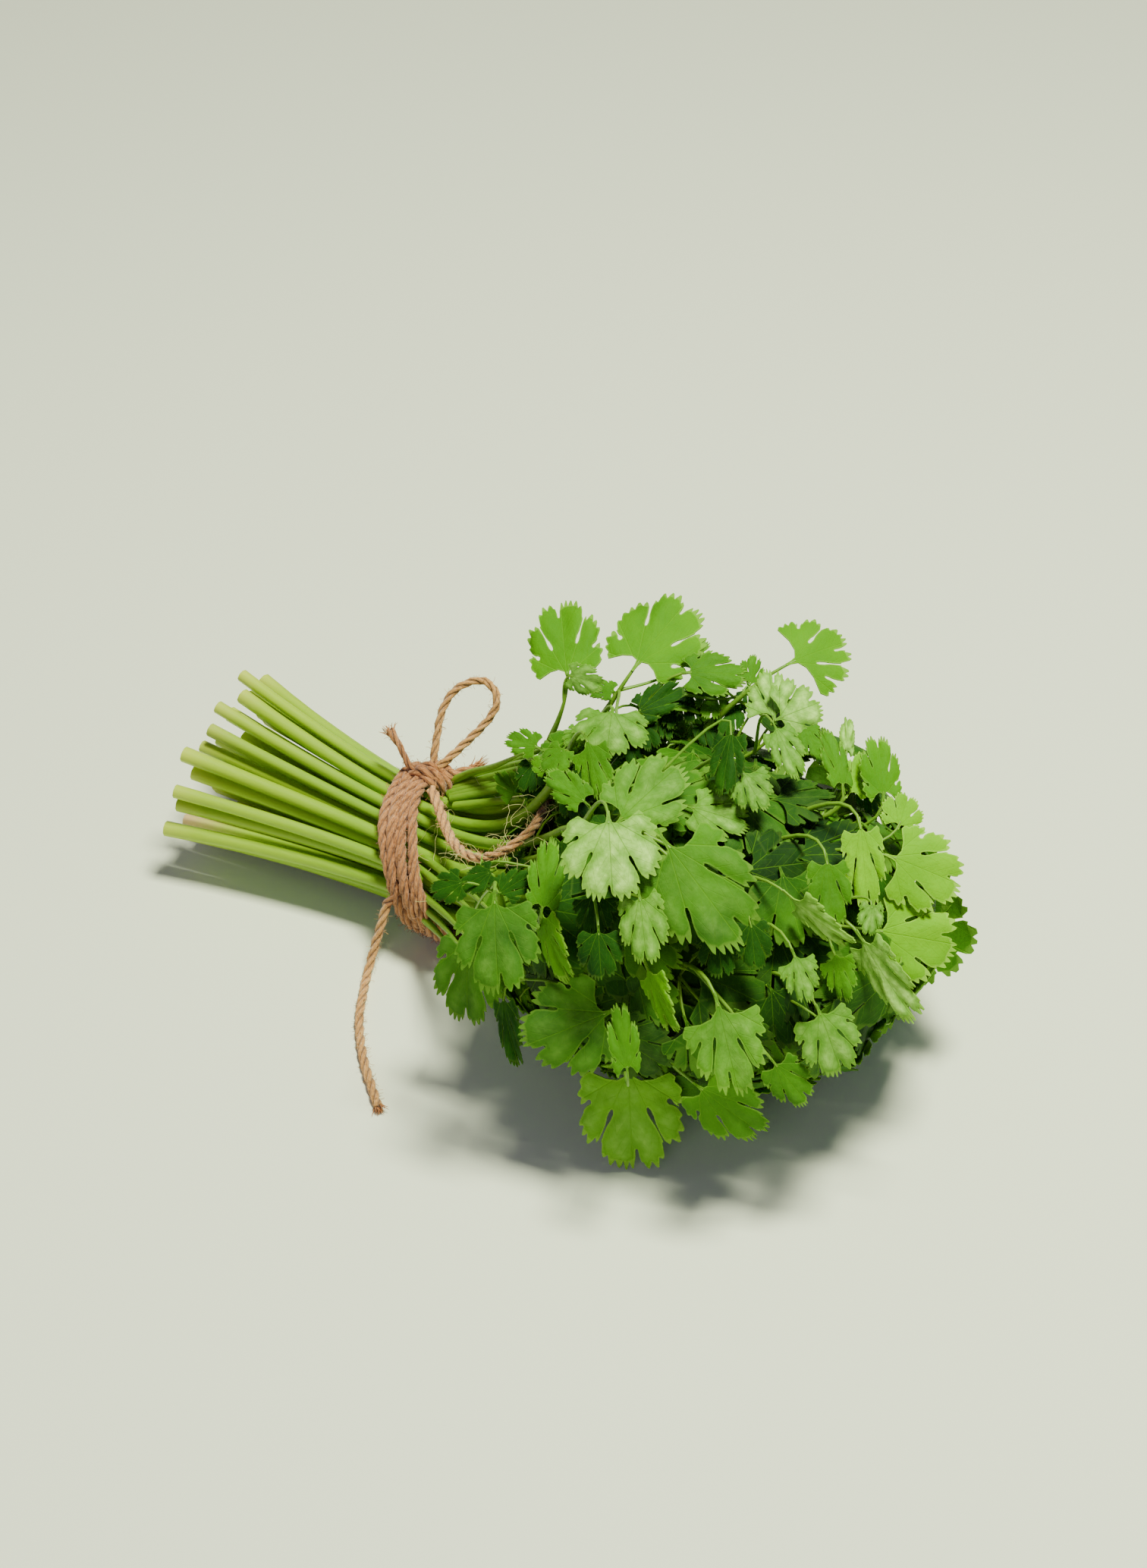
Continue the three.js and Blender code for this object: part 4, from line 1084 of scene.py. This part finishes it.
# Sweeps a finely ribbed section along every line, to the radius that the line carries
def stemTree(material):
    tree, given = newTree("ribbed_stems", {"Ribs": ("NodeSocketInt", 7), "Rib Depth": ("NodeSocketFloat", 0.07)})
    curve = addNode(tree, "GeometryNodeMeshToCurve", {0: given["Geometry"]}).outputs[0]
    radius = addNode(tree, "GeometryNodeInputNamedAttribute", {"Name": "radius"}, data_type="FLOAT").outputs[0]
    inner = addNode(tree, "ShaderNodeMath", {0: 1.0, 1: given["Rib Depth"]}, operation="SUBTRACT").outputs[0]
    section = addNode(tree, "GeometryNodeCurveStar", {
        "Points": given["Ribs"], "Inner Radius": inner, "Outer Radius": 1.0}).outputs[0]
    swept = addNode(tree, "GeometryNodeCurveToMesh", {0: curve, 1: section, "Scale": radius, "Fill Caps": True}).outputs[0]
    smooth = addNode(tree, "GeometryNodeSetShadeSmooth", {0: swept}).outputs[0]
    final = addNode(tree, "GeometryNodeRealizeInstances", {0: smooth}).outputs[0]
    painted = addNode(tree, "GeometryNodeSetMaterial", {0: final, "Material": material}).outputs[0]
    addNode(tree, "NodeGroupOutput", {0: painted})
    return tree


stemGreen = stemMaterial()
stemsTree = stemTree(stemGreen)
stemLines, stalkLines = [], []
for n, path in enumerate(slimStems):
    along = [0.4 + 0.5 * i / 15 for i in range(16)]
    stemLines.append({"points": path, "along": along, "lot": [draw(n, 54)] * 16, "dry": [0.0] * 16,
                      "radius": [(1.4 - 1.1 * (i / 15) ** 1.5) * mm for i in range(16)]})
for n, stem in enumerate(stems):
    straight = stem["points"][:-4]
    points = straight + stalkLine(straight[-1], (straight[-1] - straight[-2]).normalized(), stem["leaflets"][0], 12)[1:]
    count = len(points)
    along = [i / (count - 1) for i in range(count)]
    girth = 0.88 + 0.22 * draw(n, 55)
    radii = [np.interp(a, (0, 0.015, 0.05, 0.4, 0.7, 0.88, 1), (
        bunch["radiusCut"] * 1.1, bunch["radiusCut"] * 1.12, bunch["radiusCut"], bunch["radiusWaist"], 1.25, 0.6, 0.36))
        for a in along]
    cutPixel = pixelOf(points[0])
    dryness = 0.9 if math.hypot(cutPixel[0] - 258, cutPixel[1] - 1075) < bunch["dryWithin"] else 0.12 * draw(n, 56)
    stemLines.append({
        "points": points, "along": along, "radius": [r * girth * mm for r in radii], "lot": [draw(n, 51)] * count,
        "dry": [dryness * max(0, 1 - a / 0.07) for a in along],
    })
    root = points[-5]
    for leaflet in stem["leaflets"][1:]:
        foot = stalkFoot(leaflet)
        if (foot - root).length > 0.5:
            heading = ((foot - root).normalized() - toward * 0.3).normalized()
            line = stalkLine(root, heading, leaflet, 10)
            stalkLines.append({"points": line, "along": [0.95] * 10, "lot": [draw(n, 52)] * 10,
                               "radius": [(0.6 - 0.25 * j / 9) * mm for j in range(10)]})
for n, leaflet in enumerate(neckLeaflets + fillers):
    heading = ((leaflet["base"] - leaflet["from"]).normalized() - Vector((0, 0, 0.2))).normalized()
    line = stalkLine(leaflet["from"], heading, leaflet, 7)
    for point in line:
        point.z = max(point.z, 0.8)
    stalkLines.append({"points": line, "along": [0.62] * 7, "lot": [draw(n, 53)] * 7,
                       "radius": [(0.55 - 0.25 * j / 6) * mm for j in range(7)]})
carrier = lineCarrier("stem_lines", stemLines, ("along", "radius", "lot", "dry"))
settle(grown(carrier, stemsTree, {"Ribs": 8}, "stems"), leafyNodes)
carrier = lineCarrier("stalk_lines", stalkLines, ("along", "radius", "lot"))
settle(grown(carrier, stemsTree, {"Ribs": 3, "Rib Depth": 0.13}, "leaf_stalks"), [])
print("stems:", len(stemLines), "stalks:", len(stalkLines))

# ---- twine


# Jute: coarse bast fibre spun into three plies, matt, golden tan, with painted shade in the grooves, and loose hairs
def juteMaterial(name, ramp):
    material, tree, surface = newMaterial(name)
    fibre = addNode(tree, "ShaderNodeAttribute", attribute_name="fibre").outputs["Vector"]
    place = addNode(tree, "ShaderNodeTexCoord").outputs["Object"]
    # single fibres are about 0.05 mm; drawn at about 0.3 mm so that they show
    fibres = addNode(tree, "ShaderNodeTexNoise", {"Vector": fibre, "Scale": 3.2, "Detail": 4.0}).outputs[0]
    patches = addNode(tree, "ShaderNodeTexNoise", {"Vector": place, "Scale": 90.0, "Detail": 2.0}).outputs[0]
    both = addNode(tree, "ShaderNodeMath", {0: patches, 1: 0.35, 2: fibres}, operation="MULTIPLY_ADD").outputs[0]
    colour = colourRamp(tree, both, list(zip((0.4, 0.58, 0.74, 0.95), ramp)))
    # painted shade: where a ply's surface turns in towards the cord's axis, into the grooves between the plies, it is
    # painted dark brown
    rise = addNode(tree, "ShaderNodeAttribute", attribute_name="rise").outputs["Fac"]
    groove = addNode(tree, "ShaderNodeMapRange", {0: rise, 1: 0.5, 2: 0.92, 3: 0.85, 4: 0.0}).outputs[0]
    colour = addNode(tree, "ShaderNodeMix", {0: groove, 6: colour, 7: linear("#3c2008")}, data_type="RGBA").outputs[2]
    tree.links.new(colour, surface.inputs["Base Color"])
    bump = addNode(tree, "ShaderNodeBump", {"Height": fibres, "Strength": 0.8, "Distance": 0.0004})
    tree.links.new(bump.outputs[0], surface.inputs["Normal"])
    surface.inputs["Roughness"].default_value = 0.85
    surface.inputs["Sheen Weight"].default_value = 0.3
    surface.inputs["Sheen Roughness"].default_value = 0.5
    return material


# Twists plies round each line, then lets short hairs stand off them
def twineTree(material):
    tree, given = newTree("plied_twine", {
        "Plies": ("NodeSocketInt", 3), "Ply Radius": ("NodeSocketFloat", 0.0008), "Ply Offset": ("NodeSocketFloat", 0.0008),
        "Lay Length": ("NodeSocketFloat", 13.5), "Hair Density": ("NodeSocketFloat", 4e5), "Seed": ("NodeSocketInt", 1),
        "Only Hairs": ("NodeSocketBool", False)})

    def math2(operation, a, b, c=None):
        inputs = {0: a, 1: b} if c is None else {0: a, 1: b, 2: c}
        return addNode(tree, "ShaderNodeMath", inputs, operation=operation).outputs[0]

    def vector2(operation, a, b):
        return addNode(tree, "ShaderNodeVectorMath", {0: a, 1: b}, operation=operation).outputs[0]

    def scaledBy(vector, factor):
        return addNode(tree, "ShaderNodeVectorMath", {0: vector, "Scale": factor}, operation="SCALE").outputs[0]

    curve = addNode(tree, "GeometryNodeMeshToCurve", {0: given["Geometry"]}).outputs[0]
    plied = addNode(tree, "GeometryNodeDuplicateElements", {0: curve, "Amount": given["Plies"]}, domain="SPLINE")
    along = addNode(tree, "GeometryNodeInputNamedAttribute", {"Name": "along"}, data_type="FLOAT").outputs[0]
    phase = math2("DIVIDE", plied.outputs[1], given["Plies"])
    angle = math2("MULTIPLY", math2("ADD", math2("DIVIDE", along, given["Lay Length"]), phase), 2 * math.pi)
    tangent = addNode(tree, "GeometryNodeInputTangent").outputs[0]
    normal = addNode(tree, "GeometryNodeInputNormal").outputs[0]
    binormal = vector2("CROSS_PRODUCT", tangent, normal)
    offset = vector2("ADD", scaledBy(normal, math2("COSINE", angle, 0)), scaledBy(binormal, math2("SINE", angle, 0)))
    girth = addNode(tree, "GeometryNodeInputNamedAttribute", {"Name": "girth"}, data_type="FLOAT").outputs[0]
    axis = addNode(tree, "GeometryNodeStoreNamedAttribute", {
        0: plied.outputs[0], "Name": "axis", "Value": addNode(tree, "GeometryNodeInputPosition").outputs[0],
    }, data_type="FLOAT_VECTOR").outputs[0]
    moved = addNode(tree, "GeometryNodeSetPosition", {
        0: axis, "Offset": scaledBy(offset, math2("MULTIPLY", given["Ply Offset"], girth))}).outputs[0]
    circle = addNode(tree, "GeometryNodeCurvePrimitiveCircle", {"Resolution": 7, "Radius": 1.0}).outputs[0]
    around = addNode(tree, "GeometryNodeInputPosition").outputs[0]
    circle = addNode(tree, "GeometryNodeStoreNamedAttribute", {0: circle, "Name": "round", "Value": around},
                     data_type="FLOAT_VECTOR").outputs[0]
    swept = addNode(tree, "GeometryNodeCurveToMesh", {
        0: moved, 1: circle, "Scale": math2("MULTIPLY", given["Ply Radius"], girth), "Fill Caps": True}).outputs[0]
    rounding = addNode(tree, "GeometryNodeInputNamedAttribute", {"Name": "round"}, data_type="FLOAT_VECTOR").outputs[0]
    fibre = addNode(tree, "ShaderNodeVectorMath", {0: (0.0, 0.0, 0.35), "Scale": along}, operation="SCALE").outputs[0]
    swept = addNode(tree, "GeometryNodeStoreNamedAttribute", {
        0: swept, "Name": "fibre", "Value": vector2("ADD", rounding, fibre)}, data_type="FLOAT_VECTOR").outputs[0]
    axisPlace = addNode(tree, "GeometryNodeInputNamedAttribute", {"Name": "axis"}, data_type="FLOAT_VECTOR").outputs[0]
    out = addNode(tree, "ShaderNodeVectorMath", {
        0: addNode(tree, "GeometryNodeInputPosition").outputs[0], 1: axisPlace}, operation="DISTANCE").outputs["Value"]
    full = math2("MULTIPLY", math2("ADD", given["Ply Offset"], given["Ply Radius"]), girth)
    swept = addNode(tree, "GeometryNodeStoreNamedAttribute", {
        0: swept, "Name": "rise", "Value": math2("DIVIDE", out, full)}, data_type="FLOAT").outputs[0]
    swept = addNode(tree, "GeometryNodeSetShadeSmooth", {0: swept}).outputs[0]
    spread = addNode(tree, "GeometryNodeDistributePointsOnFaces", {
        0: swept, "Density": given["Hair Density"], "Seed": given["Seed"]})
    strand = addNode(tree, "GeometryNodeCurveQuadraticBezier", {
        "Resolution": 3, "Start": (0, 0, 0), "Middle": (0, 0, 0.0009), "End": (0.0008, 0, 0.0015)}).outputs[0]
    thread = addNode(tree, "GeometryNodeCurvePrimitiveCircle", {"Resolution": 3, "Radius": 0.00006}).outputs[0]
    hair = addNode(tree, "GeometryNodeCurveToMesh", {0: strand, 1: thread, "Fill Caps": True}).outputs[0]
    size = addNode(tree, "FunctionNodeRandomValue", {2: 0.3, 3: 1.2, "Seed": 3}, data_type="FLOAT").outputs[1]
    spin = addNode(tree, "FunctionNodeRandomValue", {
        0: (-0.9, -0.9, 0.0), 1: (0.9, 0.9, 6.28), "Seed": 5}, data_type="FLOAT_VECTOR").outputs[0]
    turn = addNode(tree, "FunctionNodeRotateEuler", {0: spread.outputs[2], 1: spin}, space="LOCAL").outputs[0]
    hairs = addNode(tree, "GeometryNodeInstanceOnPoints", {
        0: spread.outputs[0], "Instance": hair, "Rotation": turn, "Scale": size}).outputs[0]
    hairs = addNode(tree, "GeometryNodeRealizeInstances", {0: hairs}).outputs[0]
    chosen = addNode(tree, "GeometryNodeSwitch", {"Switch": given["Only Hairs"], "False": swept, "True": hairs},
                     input_type="GEOMETRY").outputs[0]
    painted = addNode(tree, "GeometryNodeSetMaterial", {0: chosen, "Material": material}).outputs[0]
    addNode(tree, "NodeGroupOutput", {0: painted})
    return tree


jute = juteMaterial("spun_jute", ("#6c3a16", "#a06430", "#bc7e44", "#dca876"))
# The free ends have a lighter ramp than the tie; the front end's is lighter again, painted light for a cord that lies
# in shade
paleEndsJute = juteMaterial("spun_jute_free_ends", ("#84501e", "#bc843e", "#d8a058", "#f0c88c"))
paintedLightJute = juteMaterial("spun_jute_front_end", ("#90581e", "#cc8c48", "#e8ac64", "#fcd498"))
tieTree, endTree, frontTree = twineTree(jute), twineTree(paleEndsJute), twineTree(paintedLightJute)


# The girth is a share of the full one, the same all along or given at even steps from start to end
def twineLine(points, girth=(1.0,)):
    run = [0.0]
    for a, b in zip(points, points[1:]):
        run.append(run[-1] + (b - a).length)
    steps = np.linspace(0, run[-1], len(girth))
    return {"points": points, "along": run, "girth": [float(np.interp(s, steps, girth)) for s in run]}


# The turns round the stems: they draw together under the knot, where some ride up on others
def tieLines():
    half = twine["diameter"] / 2
    points, girth = [], []
    steps = 72
    for step in range(int(steps * twine["turns"]) + 1):
        turn = step / steps
        angle = math.radians(65) + 2 * math.pi * turn
        away = 0.5 - 0.5 * math.cos(angle - math.radians(65))
        gather = 0.62 + 0.36 * away
        wobble = 0.8 * math.sin(angle * 2.3 + 1.9 * int(turn)) + 0.4 * math.sin(angle * 5.1)
        ride = half * 0.5 * (1 - away) * (int(turn) % 2) + 0.25 * math.sin(angle * 3.7 + int(turn))
        y, z = (outerAcross - half + ride) * math.cos(angle), (outerUp - half + ride) * math.sin(angle)
        shift = (turn - twine["turns"] / 2) * twine["diameter"] * gather + wobble
        points.append(tieCentre + Vector((-bunch["slant"] * (y + z) + shift, y, max(z, half - tieCentre.z))))
        girth.append(1.05 + 0.1 * math.sin(angle * 1.7 + 2 * int(turn)))
    return [twineLine(points, girth)]


def viewRoute(rows, count):
    return smoothRoute([viewPoint(*row) for row in rows], count)


# The knot: two strands wrap over the turns side by side, with lumps of slack twine behind them
def knotLines():
    return [twineLine(viewRoute(rows, 24), girth) for rows, girth in twine["knotStrands"]]


# A length of twine, and its loose hairs as a piece beside it
def twinePiece(name, lines, replaced, seed):
    made = []
    for suffix, onlyHairs in (("", False), ("_hairs", True)):
        carrier = lineCarrier(name + "_line", lines, ("along", "girth"))
        tree = {"tie": tieTree, "front_end": frontTree}.get(name, endTree)
        piece = grown(carrier, tree, {"Only Hairs": onlyHairs, "Seed": seed}, name + suffix)
        for vertex in piece.data.vertices:
            vertex.co.z = max(vertex.co.z, 0.00002)
        made.append(settle(piece, [] if onlyHairs else replaced))
    print(name, [len(piece.data.polygons) for piece in made], "faces")
    return made


# Loose fibres that splay out of a cut end
def frayPiece(name, ends):
    lines = []
    for n, (tip, before, count, length, splay) in enumerate(ends):
        forward = (tip - before).normalized()
        for k in range(count):
            lot = n * 100 + k
            swing = Vector((draw(lot, 81) - 0.5, draw(lot, 82) - 0.5, draw(lot, 83) - 0.5)) * 2
            heading = (forward + swing * splay).normalized()
            point = tip - forward * 1.5 + swing.yzx * 0.7
            points = [point]
            for j in range(4):
                bend = Vector((draw(lot + j, 84) - 0.5, draw(lot + j, 85) - 0.5, draw(lot + j, 86) - 0.5)) * 0.6
                heading = (heading + bend).normalized()
                point = point + heading * (length * (0.6 + 0.6 * draw(lot, 87)) / 4)
                points.append(Vector((point.x, point.y, max(point.z, 0.2))))
            lines.append({"points": points, "along": [0.0] * 5, "lot": [0.0] * 5, "rise": [1.0] * 5,
                          "radius": [0.22 * mm, 0.2 * mm, 0.16 * mm, 0.12 * mm, 0.05 * mm]})
    carrier = lineCarrier(name + "_lines", lines, ("along", "radius", "lot", "rise"))
    return settle(grown(carrier, fibreTree, {"Ribs": 3, "Rib Depth": 0.1}, name), [])


fibreTree = stemTree(jute)
tieLength = tieLines() + knotLines() + [
    twineLine(shortRoute, (0.9, 0.7, 0.68, 0.72, 0.95)), twineLine(viewRoute(twine["tailJoin"], 12), (0.9,))]
twinePiece("tie", tieLength, ["twine_tie"], 2)
flapTip, flapBefore = viewPoint(*twine["knotStrands"][3][0][-1]), viewPoint(*twine["knotStrands"][3][0][-2])
frayPiece("tie_fray", [(shortRoute[-1], shortRoute[-2], 26, 3.2, 0.35), (flapTip, flapBefore, 40, 6, 0.4)])
cords = (
    ("bow_loop", bowRoute, "twine_bow_loop", "object", 3, (0.84, 0.82, 0.84, 0.9)),
    ("front_end", frontRoute, "twine_front_end", "bare", 4, (1.12, 1.08, 1.0, 0.94, 0.9)),
    ("tail", tailRoute, "twine_tail", "bare", 5, (0.94, 0.92, 0.92, 0.95)),
)
for name, route, replaced, farEnd, seed, girth in cords:
    piece, hairs = twinePiece(name, [twineLine(route, girth)], [replaced], seed)
    if farEnd == "bare":
        frayPiece(name + "_fray", [(route[-1], route[-2], 30, 3.4, 0.3)])

# ---- pale rootlets that wander over the stems beside the tie

rootlets = {"count": 90, "steps": 12, "step": 1.5, "radius": 0.06, "curl": 0.65}


# Rootlet: a dry, pale straw-coloured thread
def rootletMaterial():
    material, _, surface = newMaterial("dry_rootlet")
    surface.inputs["Base Color"].default_value = linear("#ccc87c")
    surface.inputs["Roughness"].default_value = 0.7
    return material


# Each starts on the twine's front end or on a stem behind it, and wanders off towards the eye
def rootletLine(n):
    if n % 3 == 0:
        point = frontRoute[int(draw(n, 62) * (len(frontRoute) - 2))].copy()
    else:
        stem = stems[int(draw(n, 61) * len(stems))]
        point = stem["points"][12 + int(draw(n, 62) * 8)].copy()
    heading = (Vector((draw(n, 63) - 0.5, draw(n, 64) - 0.5, draw(n, 65) - 0.5)) * 2 + toward * 0.5).normalized()
    points = [point.copy()]
    for j in range(rootlets["steps"]):
        swing = Vector((draw(n * 31 + j, 66) - 0.5, draw(n * 31 + j, 67) - 0.5, draw(n * 31 + j, 68) - 0.5)) * 2
        heading = (heading + swing * rootlets["curl"] - toward * 0.06).normalized()
        point = point + heading * rootlets["step"]
        point.z = max(point.z, 1)
        points.append(point.copy())
    return smoothRoute(points, 26)


def facesEye(points):
    return points[0].z > tieCentre.z - 6 and (points[0] - tieCentre).dot(toward) > 10 and 0 < points[0].x < 45


rootletPaths = [path for path in map(rootletLine, range(500)) if facesEye(path)][:rootlets["count"]]
rootletLines = [{"points": path, "radius": [rootlets["radius"] * mm] * 26} for path in rootletPaths]
carrier = lineCarrier("rootlet_lines", rootletLines, ("radius",))
settle(grown(carrier, stemTree(rootletMaterial()), {"Ribs": 3, "Rib Depth": 0.1}, "rootlets"), [])
print("rootlets:", len(rootletLines))

# ---- floor and light

floorMesh = bpy.data.meshes.new("floor")
floorMesh.from_pydata([(-4, -4, 0), (4, -4, 0), (4, 4, 0), (-4, 4, 0)], [], [(0, 1, 2, 3)])
floor = bpy.data.objects.new("floor", floorMesh)
bpy.context.scene.collection.objects.link(floor)
floorMaterial, _, floorSurface = newMaterial("pale_studio_floor")
floorSurface.inputs["Base Color"].default_value = linear("#eef4d6")
floorSurface.inputs["Roughness"].default_value = 0.9
floorMesh.materials.append(floorMaterial)

studio = {
    "key": ((0.3, 0.08, 1.3), 36.3, 0.3, "#faffea"),
    "fill": ((-0.9, -0.5, 0.9), 0.7, 1.2, "#e4d8ff"),
    "front": ((0.5, -1.1, 0.9), 2.1, 0.5, "#f0e2ff"),
    "world": ("#d4ccff", 0.155),
}
for name in ("key", "fill", "front"):
    place, power, size, tint = studio[name]
    light = bpy.data.objects.new(name, bpy.data.lights.new(name, "AREA"))
    light.data.energy, light.data.size, light.data.color = power, size, linear(tint)[:3]
    light.location = place
    light.rotation_euler = (Vector(place) - Vector((0.05, 0, 0.04))).to_track_quat("Z", "Y").to_euler()
    bpy.context.scene.collection.objects.link(light)
world = bpy.data.worlds.new("studio")
world.use_nodes = True
background = world.node_tree.nodes["Background"]
background.inputs[0].default_value = linear(studio["world"][0])
background.inputs[1].default_value = studio["world"][1]
bpy.context.scene.world = world

print("scene ready")
